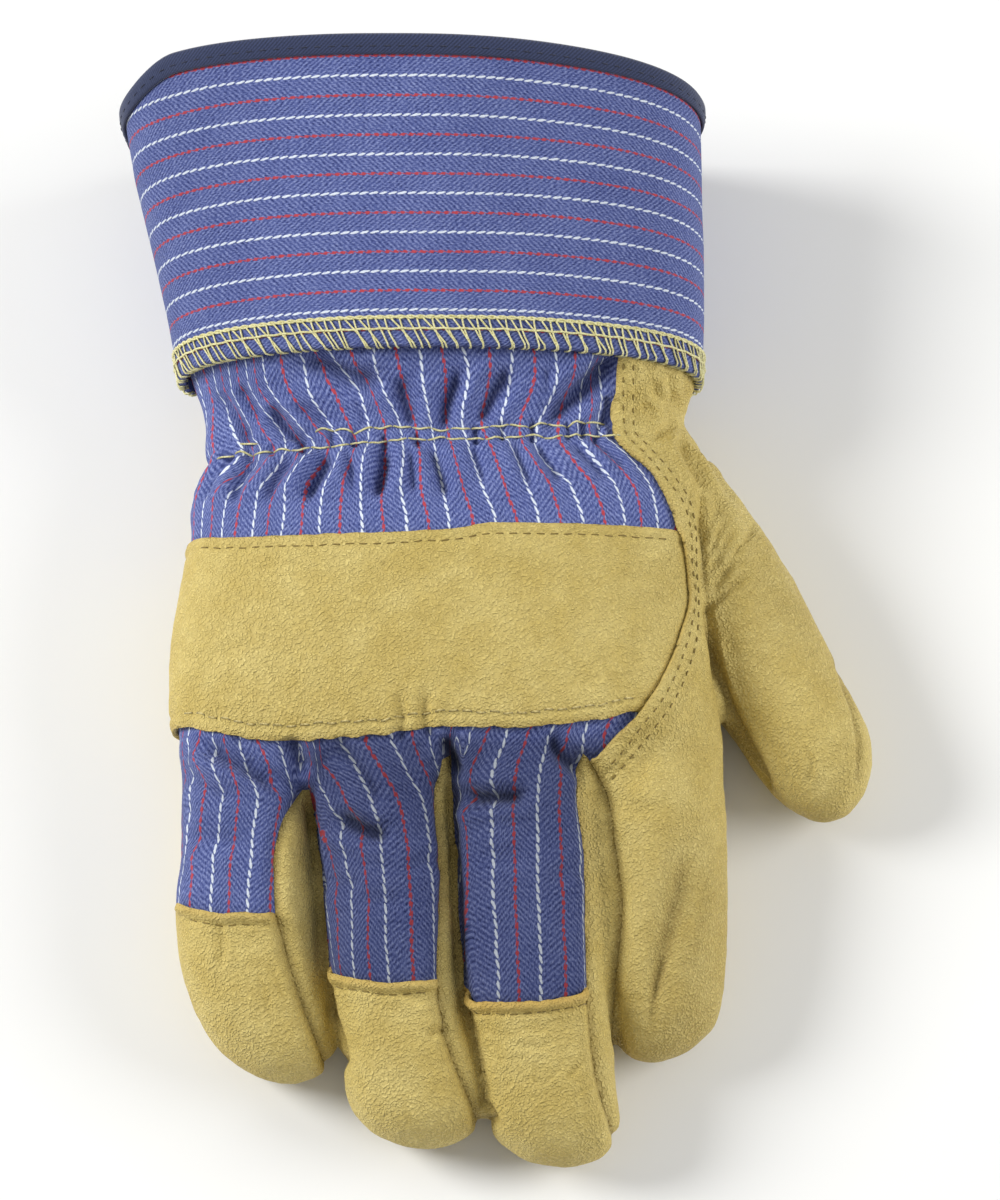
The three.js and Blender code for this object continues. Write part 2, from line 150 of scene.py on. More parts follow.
def rounded_section(row, angles, lean):
    """Points round one section of a limb; lean raises the left of its upper half and lowers the right."""
    y, left, right, bottom, top = row
    across, up = np.cos(angles), np.sin(angles)
    x = (left + right) / 2 + (right - left) / 2 * signed_power(across, 2 / SQUARENESS)
    z = (bottom + top) / 2 + (top - bottom) / 2 * signed_power(up, 2 / SQUARENESS)
    z = z + lean * ((left + right) / 2 - x) * np.maximum(up, 0)
    return np.stack([x, np.full_like(x, y), z], 1)


def tube_faces(rings, points, closed_rings=False):
    """Faces of a tube whose rings follow each other in the list of vertices."""
    faces = []
    for ring in range(rings if closed_rings else rings - 1):
        a, b = ring * points, (ring + 1) % rings * points
        for i in range(points):
            j = (i + 1) % points
            faces.append((a + i, a + j, b + j, b + i))
    return faces


def limb(rows, tip, lean=0.0):
    """Vertices and faces of one closed limb."""
    smooth = limb_rows(rows, tip)[:-1]
    angles = np.linspace(0, 2 * math.pi, RING_POINTS, endpoint=False)
    points = np.concatenate([rounded_section(row, angles, lean) for row in smooth])
    start = (smooth[0, 1:3].mean(), smooth[0, 0], smooth[0, 3:5].mean())
    points = np.concatenate([points, [start, tip]])
    faces = tube_faces(len(smooth), RING_POINTS)
    last = (len(smooth) - 1) * RING_POINTS
    for i in range(RING_POINTS):
        j = (i + 1) % RING_POINTS
        faces.append((j, i, len(points) - 2))
        faces.append((last + i, last + j, len(points) - 1))
    return points, faces


def tuples(points):
    return [tuple(point) for point in points]


def mesh_of(points, faces):
    mesh = bpy.data.meshes.new("glove")
    mesh.from_pydata(tuples(points), [], faces)
    return mesh


def faces_of(mesh):
    return [tuple(face.vertices) for face in mesh.polygons]


def joined(parts):
    """One list of vertices and faces from several."""
    points, faces, count = [], [], 0
    for part_points, part_faces in parts:
        points.append(np.asarray(part_points, float))
        faces.extend(tuple(corner + count for corner in face) for face in part_faces)
        count += len(part_points)
    return np.concatenate(points), faces


def worked(mesh, kind, **settings):
    """The mesh after one of Blender's modifiers."""
    holder = bpy.data.objects.new("work", mesh)
    bpy.context.collection.objects.link(holder)
    modifier = holder.modifiers.new("work", kind)
    for name, value in settings.items():
        setattr(modifier, name, value)
    depsgraph = bpy.context.evaluated_depsgraph_get()
    result = bpy.data.meshes.new_from_object(holder.evaluated_get(depsgraph))
    bpy.data.objects.remove(holder)
    return result


def points_of(mesh):
    flat = np.empty(len(mesh.vertices) * 3, np.float32)
    mesh.vertices.foreach_get("co", flat)
    return flat.reshape(-1, 3).astype(float)


def normals_of(mesh):
    flat = np.empty(len(mesh.vertices) * 3, np.float32)
    mesh.vertex_normals.foreach_get("vector", flat)
    return flat.reshape(-1, 3).astype(float)


def move_points(mesh, points):
    mesh.vertices.foreach_set("co", points.astype(np.float32).ravel())
    mesh.update()


def eased(value, low, high):
    """0 below low and 1 above high, with a soft start and end."""
    share = np.clip((value - low) / (high - low), 0, 1)
    return share * share * (3 - 2 * share)


def relax(mesh, rounds, strength=0.5):
    """Evens out a mesh by moving each vertex towards its neighbours."""
    edges = np.empty(len(mesh.edges) * 2, np.int32)
    mesh.edges.foreach_get("vertices", edges)
    a, b = edges.reshape(-1, 2).T
    points = points_of(mesh)
    count = np.bincount(a, minlength=len(points)) + np.bincount(b, minlength=len(points))
    for _ in range(rounds):
        total = np.stack([
            np.bincount(a, points[b, axis], len(points)) + np.bincount(b, points[a, axis], len(points))
            for axis in range(3)
        ], 1)
        points += strength * (total / count[:, None] - points)
    move_points(mesh, points)


thumb_points, thumb_faces = limb(THUMB_ROWS, THUMB_TIP)
turned_x = thumb_points[:, 0] * math.cos(THUMB_TURN) - thumb_points[:, 1] * math.sin(THUMB_TURN)
turned_y = thumb_points[:, 0] * math.sin(THUMB_TURN) + thumb_points[:, 1] * math.cos(THUMB_TURN)
thumb_points = np.stack([turned_x + THUMB_ROOT[0], turned_y + THUMB_ROOT[1], thumb_points[:, 2]], 1)
limbs = [
    limb(HAND_ROWS, HAND_TIP),
    limb(LITTLE_ROWS, LITTLE_TIP),
    limb(RING_ROWS, RING_TIP),
    limb(MIDDLE_ROWS, MIDDLE_TIP),
    limb(INDEX_ROWS, INDEX_TIP, INDEX_LEAN),
    limb(SHOULDER_ROWS, SHOULDER_TIP),
    (thumb_points, thumb_faces),
]
form = worked(mesh_of(*joined(limbs)), "REMESH", mode="VOXEL", voxel_size=FORM_VOXEL)
relax(form, SMOOTHING_ROUNDS)
rounded = points_of(form) + SMOOTHING_LOSS * normals_of(form)
rounded[:, 2] = np.maximum(rounded[:, 2], 0)
move_points(form, rounded)
relax(form, 4)

# Folds of the worn glove
# The elastic at the wrist bunches the cloth into puckers, the leather wrinkles where the thumb bends away and
# the cloth creases over the knuckles. Each fold is a line seen from above that sinks into the form.
# Depth and half-width in mm, then corners x, y; a fold fades out at both ends
FOLDS = [
    # puckers between the cuff and the elastic
    (3.2, 1.5, [(-55.5, 42.9), (-52.1, 38.6), (-47.6, 34.1), (-44.5, 32.7)]),
    (3.4, 2.2, [(-50.8, 51.6), (-45, 50), (-40.3, 48.7), (-35.5, 46.8), (-28.4, 45.4), (-25.1, 43.7)]),
    (1.8, 1.3, [(-49.5, 42.3), (-45.2, 39.6), (-41.6, 37.7), (-39.4, 35.4)]),
    (3.0, 2.2, [(-24.4, 47.6), (-22.8, 42.6), (-21.3, 39.4), (-20.3, 34.7)]),
    (3.0, 2.2, [(-11.4, 49.6), (-10.4, 46.3), (-11.8, 43), (-13, 39.6), (-13.2, 33.6)]),
    (3.2, 2.2, [(2.8, 50.2), (0.7, 46.4), (-1.9, 43.3), (-3.8, 39.6), (-6.2, 35.5)]),
    (4.4, 2.2, [(29.5, 54.9), (26.4, 51), (24.2, 48.9), (20.2, 45.5), (16.1, 42.3), (12.3, 39.1),
                (8.5, 36.1)]),
    (2.2, 1.5, [(26.4, 45.2), (25.2, 41.5), (24.2, 36.7)]),
    (1.8, 1.3, [(-68.1, 47.6), (-64.1, 42.5), (-60.7, 37.3), (-59, 32.7)]),
    (1.6, 1.4, [(-63, 48.1), (-59.7, 43.5), (-56.8, 38.6)]),
    (1.4, 1.2, [(-35.1, 43.3), (-32.7, 39.6), (-31.7, 35)]),
    (1.2, 1.2, [(10.7, 49.8), (11.4, 45.7), (9.5, 42)]),
    # pinches on the elastic itself
    (1.9, 0.9, [(7.4, 38.7), (7.6, 34.9), (7.3, 31)]),
    (1.6, 0.8, [(16.1, 38.5), (16.1, 32.5)]),
    (1.5, 0.8, [(19.2, 38.7), (19.7, 33.3)]),
    (1.5, 0.8, [(23.1, 38.5), (23, 32.4)]),
    (1.6, 0.9, [(-5.9, 36.9), (-5.4, 30.9)]),
    (1.5, 0.9, [(0, 37), (0.7, 31.5)]),
    (1.6, 0.9, [(-20.1, 35.3), (-19.3, 29.8)]),
    (1.7, 1, [(-27.7, 35.4), (-27.4, 30)]),
    (1.5, 0.9, [(-35.1, 35.2), (-34, 30.2)]),
    (1.6, 0.9, [(-40.6, 36), (-39.2, 30.5)]),
    (1.6, 0.9, [(-47.5, 34.9), (-46.4, 29.4)]),
    (1.5, 0.9, [(-54.2, 34), (-53.6, 28.4)]),
    (1.4, 0.9, [(-60.5, 33.9), (-59.4, 28.7)]),
    (1.2, 0.9, [(-65.5, 33.9), (-64.8, 28.7)]),
    # puckers between the elastic and the strap
    (3.4, 1.8, [(-42.1, 32.3), (-41.1, 28.7), (-42, 25.9), (-44.3, 21.3), (-46.1, 15.7)]),
    (3.8, 1.8, [(-27.7, 33.2), (-27.3, 27.1), (-28.2, 21.6), (-29.1, 15.9)]),
    (2.8, 1.6, [(-16.8, 32.8), (-15.1, 26.9), (-13.6, 21.5), (-11.7, 15.7)]),
    (1.4, 1.2, [(-36.7, 32.2), (-34.9, 24.5), (-33.8, 17.6)]),
    (2, 1.4, [(-47.9, 31.1), (-51.1, 26.6), (-53.9, 21.6), (-55.2, 16.2)]),
    (2, 1.4, [(-56, 30.6), (-60.3, 27.2), (-62.6, 22.8), (-64, 17)]),
    (1.8, 1.3, [(-62.5, 32.9), (-67.3, 29.4), (-70.2, 25.3), (-72.1, 19.9)]),
    (1.6, 1.3, [(-7.1, 32.5), (-5.2, 26.1), (-2.8, 19.5)]),
    (1.6, 1.3, [(2.8, 32.9), (5.2, 26.3), (8.5, 18.7)]),
    (2, 1.4, [(7.6, 33.5), (11.3, 27), (15.5, 20.4)]),
    (1.8, 1.3, [(16.1, 34.4), (20.8, 28.5), (26.4, 21.6)]),
    (1.2, 1.1, [(20.2, 35.5), (25.1, 30.9), (30.7, 25)]),
    (1.4, 1.2, [(-21.5, 31.7), (-20.7, 24.1), (-19.7, 16.5)]),
    # leather at the waist and over the root of the thumb
    (1.0, 2.0, [(48.2, 55.4), (44.6, 46.8), (41.3, 43.6), (41.2, 39.4)]),
    (1.1, 1.3, [(43.6, 43.2), (39.2, 38.1), (35.2, 34.3)]),
    (1.5, 1.4, [(43.6, 43.2), (44.1, 36.5), (46.5, 29.2), (50.6, 23)]),
    (0.8, 1.2, [(35.8, 49.9), (37.8, 45.9), (42.3, 43.4)]),
    (1, 1, [(32.4, 43.8), (36.3, 42.1), (41.3, 42.5)]),
    (1.2, 1.4, [(44.4, 43.7), (48.6, 37.7), (53.3, 30), (57.3, 20)]),
    (0.9, 1.2, [(39.9, 51.7), (41.2, 47.5), (43.3, 44.6)]),
    (0.5, 1.6, [(50.6, 27), (52.8, 18), (53.9, 9)]),
    (0.5, 1.5, [(56.5, 25), (61, 13), (63.5, 2)]),
    (0.4, 1.4, [(63, 8), (67.4, -1), (70.2, -10)]),
    (1.2, 1.0, [(47.3, 24), (47.6, 16), (47.6, 9), (47.2, 2), (47.7, -5)]),
    (1.5, 1.4, [(47.4, 0), (48.4, -7), (49.8, -14), (51.9, -21.2), (53, -27.2)]),
    (1.1, 0.8, [(47, -8), (49.5, -4.6), (52.1, -2.0), (56.2, 1.0), (60.5, 4.3)]),
    (0.7, 0.7, [(47.6, -5.2), (51.1, -0.5), (54.2, 4.6), (56.3, 8.4), (60.5, 15.5)]),
    (0.5, 1.6, [(47.4, 7.1), (49.2, 13.4), (52.4, 20.8), (53.8, 27.5)]),
    (0.55, 0.65, [(48.1, 2.4), (50.8, 5.9), (54.4, 11.9), (57, 17)]),
    (0.5, 0.65, [(47.9, 5.4), (50.1, 8.5), (52.8, 14.8), (56.5, 19.9)]),
    (0.5, 0.65, [(48.4, -1.6), (52.2, 3), (57.4, 6.7), (60, 9)]),
    (0.45, 0.7, [(57.5, 10.5), (60.5, 16), (61, 21)]),
    # cloth over the knuckles and at the roots of the fingers
    (2.4, 2.0, [(-50, -37.4), (-47.4, -42.4), (-45, -46.6)]),
    (2.8, 1.6, [(-74.5, -35.5), (-69.9, -38), (-62.8, -42.6), (-55.7, -46.4), (-47.6, -50.9)]),
    (3.4, 2.0, [(-40.4, -55), (-36.1, -57.7), (-29.7, -60.5), (-23.7, -61.9)]),
    (3.0, 2.0, [(-14, -38.2), (-11.2, -43.3), (-10.3, -48.1)]),
    (3.2, 1.8, [(-11.1, -48.7), (-4.7, -52.2), (2.3, -52.7), (8.4, -50.6)]),
    (2.6, 1.8, [(10.7, -37.1), (14.5, -42.5), (18.3, -45.1), (21.1, -46.6)]),
    (1.6, 1.8, [(-40.1, -38.6), (-34.5, -43.8), (-29.8, -49.8), (-27, -56.4)]),
    (1.6, 1.8, [(-76.8, -41.2), (-66.7, -49.8), (-59.1, -52.3)]),
    (1.2, 1.6, [(-62.9, -36.5), (-59.5, -40.7), (-55.7, -44.9)]),
    (1, 1.7, [(-42.1, -67.5), (-36.1, -72.2), (-30.6, -72.4)]),
    (0.9, 2, [(-7.5, -63.9), (0, -66.7), (7.4, -65.6)]),
    (0.9, 2, [(-35.4, -76.7), (-27.8, -76.2), (-20.4, -77.6)]),
    (1, 1.9, [(-75.4, -59.3), (-66.6, -61.2), (-57.9, -63.3)]),
    (0.9, 1.6, [(-23.2, -68.8), (-17.5, -66.9), (-12.9, -64.6)]),
    (0.8, 1.6, [(11.1, -71.9), (15.8, -69.7), (21, -68.8)]),
    # leather of the fingertips and the index finger
    (1.9, 2.9, [(44.5, -58), (42.2, -72), (39, -84.5), (36.4, -95.2), (34.2, -106)]),
    (0.8, 0.9, [(38.4, -86), (36.8, -94), (35.2, -101), (34.2, -106)]),
    (0.6, 0.8, [(26, -95.6), (30.9, -97.3), (35.3, -98.8)]),
    (0.5, 1.6, [(25, -50.2), (32.7, -54.7), (41.1, -53.5)]),
    (0.8, 1.6, [(35.6, -38.2), (32.8, -46.1), (29.5, -50.4)]),
    (0.7, 1, [(-66.5, -76.2), (-64.7, -84.3), (-65.7, -92.1)]),
    (0.45, 0.7, [(-55.4, -86.2), (-51.2, -94.5), (-48.5, -102.1)]),
    (0.4, 0.6, [(-57.7, -89), (-54, -97.9), (-52.2, -105.6)]),
    (0.8, 1, [(-25, -95.4), (-18.5, -98.6), (-12.6, -96.9)]),
    (1, 0.9, [(-16.7, -107.5), (-14.4, -105.1), (-9.8, -105.2)]),
    (0.3, 0.6, [(-4.2, -104.7), (1.3, -106.6), (7.4, -105.7)]),
    (0.35, 0.7, [(2, -108.6), (8.5, -109.6), (14, -107.3)]),
    (0.3, 0.6, [(-3.3, -110.6), (2, -112.2), (7, -111.9)]),
    (0.3, 0.6, [(4, -115.9), (9.3, -117.2), (16, -113.5)]),
    (0.35, 0.6, [(13.9, -117.9), (18, -114), (20.9, -108.8)]),
    (0.35, 0.6, [(16.7, -121.1), (20.4, -117.9), (23.2, -113)]),
    (0.6, 0.7, [(71, -36.7), (73.9, -41.1), (72.6, -46.4)]),
    # the strap where it sags
    (1.1, 1.3, [(-24, -42), (-22.5, -34), (-24, -27)]),
    (1.1, 1.3, [(-16.5, -41), (-17.5, -34), (-16.5, -27)]),
]
FOLD_SHOULDER = 0.3
WRINKLE_DEPTH = 0.2
WRINKLE_SIZE = 5.0
# Middle and radius in mm of the places where the leather wrinkles most, and how many times deeper
WRINKLED_PLACES = [
    (42, 43, 11, 1.9), (54, 6, 14, 1.9), (-20, -33, 12, 1.3), (76, -38, 14, 1.3), (13, -112, 14, 1.5),
    (-50, -92, 10, 1.5), (-14, -104, 8, 1.5), (33, 2, 14, 1.5), (22, -24, 12, 1.6),
]


def along_line(points, line):
    """Distance of points from a line of corners, seen from above, its side (left is positive) and how far
    along the line the nearest place is, in mm."""
    nearest = np.full(len(points), 1e9)
    side = np.zeros(len(points))
    place = np.zeros(len(points))
    passed = 0.0
    for a, b in zip(line[:-1], line[1:]):
        a, b = np.array(a[:2], float), np.array(b[:2], float)
        step = b - a
        length = np.linalg.norm(step)
        t = np.clip(((points[:, :2] - a) @ step) / length**2, 0, 1)
        away = points[:, :2] - (a + t[:, None] * step)
        distance = np.linalg.norm(away, axis=1)
        closer = distance < nearest
        nearest = np.where(closer, distance, nearest)
        side = np.where(closer, np.sign(step[0] * away[:, 1] - step[1] * away[:, 0]), side)
        place = np.where(closer, passed + t * length, place)
        passed += length
    return nearest, side, place


def smooth_line(corners, step=1.5):
    """A line of corners seen from above, resampled as a smooth curve every step mm."""
    corners = np.array(corners, float)
    length = running_length(corners)
    at = np.linspace(0, length[-1], max(2, round(length[-1] / step) + 1))
    return curve_through(length, corners, at)


def line_length(line):
    return float(np.linalg.norm(np.diff(np.asarray(line, float)[:, :2], axis=0), axis=1).sum())


def bell(distance, width):
    """1 at a distance of 0, and next to nothing past twice the width."""
    return np.exp(-((distance / width) ** 2))


def fold_depths(points, normals, folds):
    """How far each point sinks, with a soft shoulder pushed up on both sides of each fold."""
    depths = np.zeros(len(points))
    upper = eased(normals[:, 2], -0.05, 0.35)
    for depth, width, corners in folds:
        line = smooth_line(corners)
        distance, _, place = along_line(points, line)
        length = line_length(line)
        fade = eased(place, 0, length * 0.3) * eased(length - place, 0, length * 0.3)
        valley = np.exp(-((distance / width) ** 1.6))
        shoulder = FOLD_SHOULDER * bell(distance - 2.2 * width, width)
        depths += depth * fade * (valley - shoulder) * upper
    return depths


def wrinkle_heights(points):
    """Low wrinkles, and how much the leather is creased at each point, from 0."""
    heights = np.array([
        noise.noise(Vector((x / WRINKLE_SIZE, y / WRINKLE_SIZE, z / WRINKLE_SIZE)))
        + 0.5 * noise.noise(Vector((x * 2.3 / WRINKLE_SIZE, y * 2.3 / WRINKLE_SIZE, z / WRINKLE_SIZE + 7)))
        for x, y, z in points
    ])
    strength = np.full(len(points), 1.0)
    for x, y, radius, times in WRINKLED_PLACES:
        apart = np.hypot(points[:, 0] - x, points[:, 1] - y)
        strength += (times - 1) * bell(apart, radius)
    return WRINKLE_DEPTH * strength * heights, strength - 1


# Cutting the pieces
# Leather and cloth are cut to these outlines, seen from above, and sewn with the edges turned in. x, y in mm;
# the blocks stand upright over an outline, so a piece also ends at the height of its side seam.
BACK_SEAM = 16
GUSSET_LOW = 7
GUSSET_HIGH = 20
CAP_SEAM = 10
NEXT_SIDE = 8
CUT_TOP = 75
PAST_TIPS = -145
WRIST_END = 64
TUCK = 3
SEAM_WIDTH = 1.5
SEAM_PUFF = 0.3
SEAM_PUFF_AT = 4
SEAM_PUFF_WIDTH = 2
THUMB_FOLD_DEPTH = 0.4
LEATHER_EDGE = [
    (28.3, 70), (28, 53), (26, 40), (27, 34.5), (37, 23.5), (41.5, 12.5), (43.5, -3), (41, -14.5),
    (37, -24.5), (31.8, -32.6), (19.5, -45),
]
LITTLE_CLOTH_EDGE = [
    (-46.3, -49), (-50.6, -57), (-52.5, -66), (-52.3, -76), (-50, -85), (-45.9, -98), (-40.7, -110),
]
RING_CLOTH_EDGE = [(-13.4, -44), (-14.6, -50), (-13.2, -71), (-14, -91), (-12.6, -105), (-5, -124)]
MIDDLE_CLOTH_EDGE = [(19.5, -42), (18.8, -50), (20.6, -67), (20.9, -95), (22.6, -114), (27.5, -129)]
LITTLE_CAP_LINE = [(-90, -71), (-77.5, -73.5), (-64, -78.2), (-50, -78.2)]
RING_CAP_LINE = [(-40.7, -89.5), (-34, -93), (-24.5, -94.5), (-12, -93.4)]
MIDDLE_CAP_LINE = [(-8.4, -94.5), (-5, -98), (4.5, -99.4), (14.5, -98.4), (22, -95)]
# The index finger's seam, where the gusset beside the middle finger ends
INDEX_SEAM = [
    (20.8, -43), (23.2, -46.4), (25.2, -52), (26.4, -60.4), (27.5, -68.2), (28.1, -75.1), (27.9, -81.8),
    (27, -90.9), (26.7, -99), (27.2, -105.5), (29.5, -113), (30.5, -130),
]
# Seams that run across the thumb: along its inner and its outer side, with their depth
DRAWN_SEAMS = [
    (1.2, [(49.8, -11), (50.9, -14.8), (52.4, -19), (55.4, -27), (58.9, -33.8), (62.1, -39.5), (65.2, -46),
           (69, -51)]),
    (0.7, [(80.3, -12.3), (81.6, -18.5), (83.4, -24.5), (84.8, -31), (85.4, -37), (85, -43)]),
]
DRAWN_WIDTH = 0.65
THUMB_LINE = [
    (47, 37), (48, 24), (47.7, 10.7), (47.7, 2.9), (48.8, -5.6), (50.4, -15), (51.7, -23.9), (54, -36),
]


def upright_block(outline, low, high=CUT_TOP):
    """An upright block over an outline; its faces carry the second material, to be found after a cut."""
    outline = tuples(outline)
    turn = sum(a[0] * b[1] - a[1] * b[0] for a, b in zip(outline, outline[1:] + outline[:1]))
    if turn < 0:
        outline.reverse()
    count = len(outline)
    points = [(x, y, low) for x, y in outline] + [(x, y, high) for x, y in outline]
    faces = [tuple(range(count - 1, -1, -1)), tuple(range(count, 2 * count))]
    faces += [(i, (i + 1) % count, count + (i + 1) % count, count + i) for i in range(count)]
    mesh = mesh_of(points, faces)
    two_materials(mesh)
    mesh.polygons.foreach_set("material_index", [1] * len(mesh.polygons))
    return mesh


def two_materials(mesh):
    while len(mesh.materials) < 2:
        mesh.materials.append(None)


def combined(mesh, other, operation):
    """The mesh united with another, cut by it or limited to it."""
    tool = bpy.data.objects.new("tool", other)
    bpy.context.collection.objects.link(tool)
    result = worked(mesh, "BOOLEAN", object=tool, operation=operation, solver="MANIFOLD",
                    material_mode="INDEX")
    bpy.data.objects.remove(tool)
    return result


def united(blocks):
    whole = blocks[0]
    for block in blocks[1:]:
        whole = combined(whole, block, "UNION")
    return whole


def between_fingers(left, right, from_y, to_y, steps=12):
    """The line midway between two fingers."""
    ys = np.linspace(from_y, to_y, steps)
    left, right = np.array(left, float), np.array(right, float)
    right_side = np.interp(-ys, -left[:, 0], left[:, 2])
    left_side = np.interp(-ys, -right[:, 0], right[:, 1])
    return [(float(x), float(y)) for x, y in zip((right_side + left_side) / 2, ys)]


def gusset_block(left, right, cloth_edge):
    """A gusset takes the side of one finger, the web, and the lower side of the next finger."""
    edge = tuples(smooth_line(cloth_edge))
    if right is INDEX_ROWS:
        return upright_block(edge + tuples(smooth_line(INDEX_SEAM))[::-1], GUSSET_LOW)
    middle = between_fingers(left, right, edge[0][1], edge[-1][1])
    far_side = [(x + NEXT_SIDE, y) for x, y in middle]
    return united([
        upright_block(edge + middle[::-1], GUSSET_LOW),
        upright_block(middle + far_side[::-1], GUSSET_LOW, GUSSET_HIGH),
    ])


def cap_block(cap_line, left, right):
    past_tip = [(right[-1][0], PAST_TIPS), (left[0][0], PAST_TIPS)]
    return upright_block(tuples(cap_line) + right + past_tip + left, CAP_SEAM)


def moved_line(line, distance):
    """A line seen from above, moved to its left."""
    line = np.asarray(line, float)
    run = np.gradient(line, axis=0)
    run /= np.linalg.norm(run, axis=1)[:, None]
    return line + distance * np.stack([-run[:, 1], run[:, 0]], 1)


def surface_of(mesh):
    """The cut surface alone, without the faces that the block left, as vertices and faces."""
    points = points_of(mesh)
    faces = [tuple(face.vertices) for face in mesh.polygons if face.material_index == 0]
    used = sorted({corner for face in faces for corner in face})
    place = {corner: i for i, corner in enumerate(used)}
    return points[used], [tuple(place[corner] for corner in face) for face in faces]


def uneven(xs, ys, wide, long, layer):
    """Smooth noise around 0 at each x, y, in swells about so wide and so long; each use has its own layer."""
    return np.array([noise.noise(Vector((x / wide, y / long, layer))) for x, y in zip(xs, ys)])


# The caps' blocks meet a little inside what the gussets have taken
little_ring = [(x - 0.7, y) for x, y in between_fingers(LITTLE_ROWS, RING_ROWS, -76, -113)]
ring_middle = [(x - 0.7, y) for x, y in between_fingers(RING_ROWS, MIDDLE_ROWS, -91, -130)]
middle_index = between_fingers(MIDDLE_ROWS, INDEX_ROWS, -94, -112)
leather_edge = tuples(smooth_line(LEATHER_EDGE))
tucked_edge = tuples(moved_line(leather_edge, TUCK))
middle_edge = tuples(smooth_line(MIDDLE_CLOTH_EDGE[1:4]))
GUSSETS = {
    "gusset_little_ring": gusset_block(LITTLE_ROWS, RING_ROWS, LITTLE_CLOTH_EDGE),
    "gusset_ring_middle": gusset_block(RING_ROWS, MIDDLE_ROWS, RING_CLOTH_EDGE),
    "gusset_middle_index": gusset_block(MIDDLE_ROWS, INDEX_ROWS, MIDDLE_CLOTH_EDGE),
}
# The raw upper edges of the caps are a little ragged
cap_lines = [smooth_line(line, 1.0) for line in (LITTLE_CAP_LINE, RING_CAP_LINE, MIDDLE_CAP_LINE)]
for line in cap_lines:
    line[:, 1] += 0.5 * uneven(*line.T, 2.6, 9, 2)
CAPS = {
    "little_tip": cap_block(cap_lines[0], [(-90, -120)], little_ring),
    "ring_tip": cap_block(cap_lines[1], little_ring[::-1][:7], ring_middle),
    "middle_tip": cap_block(cap_lines[2], ring_middle[::-1], middle_index),
}
thumb_block = upright_block(tuples(smooth_line(THUMB_LINE)) + [(60, -60), (120, -60), (120, 37)], -20)
wrist_block = upright_block([(-120, WRIST_END), (80, WRIST_END), (80, 100), (-120, 100)], -20, 100)
back_block = upright_block([(-95, 75)] + leather_edge + middle_edge + [(20.9, -105), (-95, -105)], BACK_SEAM)
# The cloth goes on for a few mm under the leather edge and under the fingertip caps
tucked_ends = [(x, y - TUCK) for line in (MIDDLE_CAP_LINE[::-1], RING_CAP_LINE[::-1], LITTLE_CAP_LINE[::-1])
               for x, y in line]
cloth_block = upright_block([(-95, 75)] + tucked_edge + middle_edge + tucked_ends, BACK_SEAM)

two_materials(form)
rest = combined(form, wrist_block, "DIFFERENCE")
cuts = {}
for name, block in GUSSETS.items():
    cuts[name] = surface_of(combined(rest, block, "INTERSECT"))
    rest = combined(rest, block, "DIFFERENCE")
cuts["back_cloth"] = surface_of(combined(rest, cloth_block, "INTERSECT"))
for name, block in CAPS.items():
    cuts[name] = surface_of(combined(rest, block, "INTERSECT"))
    rest = combined(rest, block, "DIFFERENCE")
cuts["thumb"] = surface_of(combined(rest, thumb_block, "INTERSECT"))
rest = combined(rest, thumb_block, "DIFFERENCE")
cuts["palm"] = surface_of(combined(rest, back_block, "DIFFERENCE"))


def border_points(points, faces):
    """The vertices along the open edges of a surface."""
    uses = {}
    for face in faces:
        for a, b in zip(face, face[1:] + face[:1]):
            key = (min(a, b), max(a, b))
            uses[key] = uses.get(key, 0) + 1
    return points[sorted({corner for key, count in uses.items() if count == 1 for corner in key})]


def tree_of(points):
    tree = KDTree(len(points))
    for i, point in enumerate(points):
        tree.insert(point, i)
    tree.balance()
    return tree


# Seams with both edges turned in lie wherever leather pieces end, except at the open wrist, along the leather
# edge that lies on the cloth, along the raw upper edges of the caps and along the thumb's fold
borders = np.concatenate([border_points(*cuts[name]) for name in ("palm", *GUSSETS, *CAPS)])
sewn = borders[:, 1] < WRIST_END - 0.4
sewn &= (along_line(borders, leather_edge)[0] > 0.4) | (borders[:, 2] < 22)
sewn &= (along_line(borders, smooth_line(THUMB_LINE))[0] > 0.4) | (borders[:, 1] < -37)
for line in cap_lines:
    sewn &= (along_line(borders, line)[0] > 0.4) | (borders[:, 2] < 14)
seam_tree = tree_of(borders[sewn])
thumb_borders = border_points(*cuts["thumb"])
thumb_tree = tree_of(thumb_borders)

form_points, form_normals = points_of(form), normals_of(form)
form_corners = faces_of(form)
form_tree = BVHTree.FromPolygons(tuples(form_points), form_corners)


def smooth_normals(points):
    """The form's own smooth normals at points on it, so that neighbouring pieces move alike at a seam."""
    result = np.empty_like(points)
    for i, point in enumerate(points):
        face = form_tree.find_nearest(Vector(point))[2]
        corners = list(form_corners[face])
        weights = 1 / (np.linalg.norm(form_points[corners] - point, axis=1) + 0.05) ** 2
        result[i] = weights @ form_normals[corners]
    return result / np.linalg.norm(result, axis=1)[:, None]


def distance_to(tree, points):
    return np.array([tree.find(point)[2] for point in points])


def seam_distance(points, normals):
    """Distance to the nearest seam, turned in or drawn across the upper side of the piece."""
    nearest = distance_to(seam_tree, points)
    for depth, line in DRAWN_SEAMS:
        drawn = along_line(points, smooth_line(line))[0] + 20 * (normals[:, 2] < 0.05) + 1.2 * (1 - depth)
        nearest = np.minimum(nearest, np.maximum(drawn, 0))
    return nearest


def drawn_seam_depths(points, normals):
    sunk = np.zeros(len(points))
    for depth, line in DRAWN_SEAMS:
        line = smooth_line(line)
        distance, _, place = along_line(points, line)
        fade = eased(place, 0, 4) * eased(line_length(line) - place, 0, 4) * (normals[:, 2] > 0)
        beside = 0.35 * bell(distance - 1.9, 1.0)
        sunk += depth * fade * (bell(distance, DRAWN_WIDTH) - beside)
    return sunk


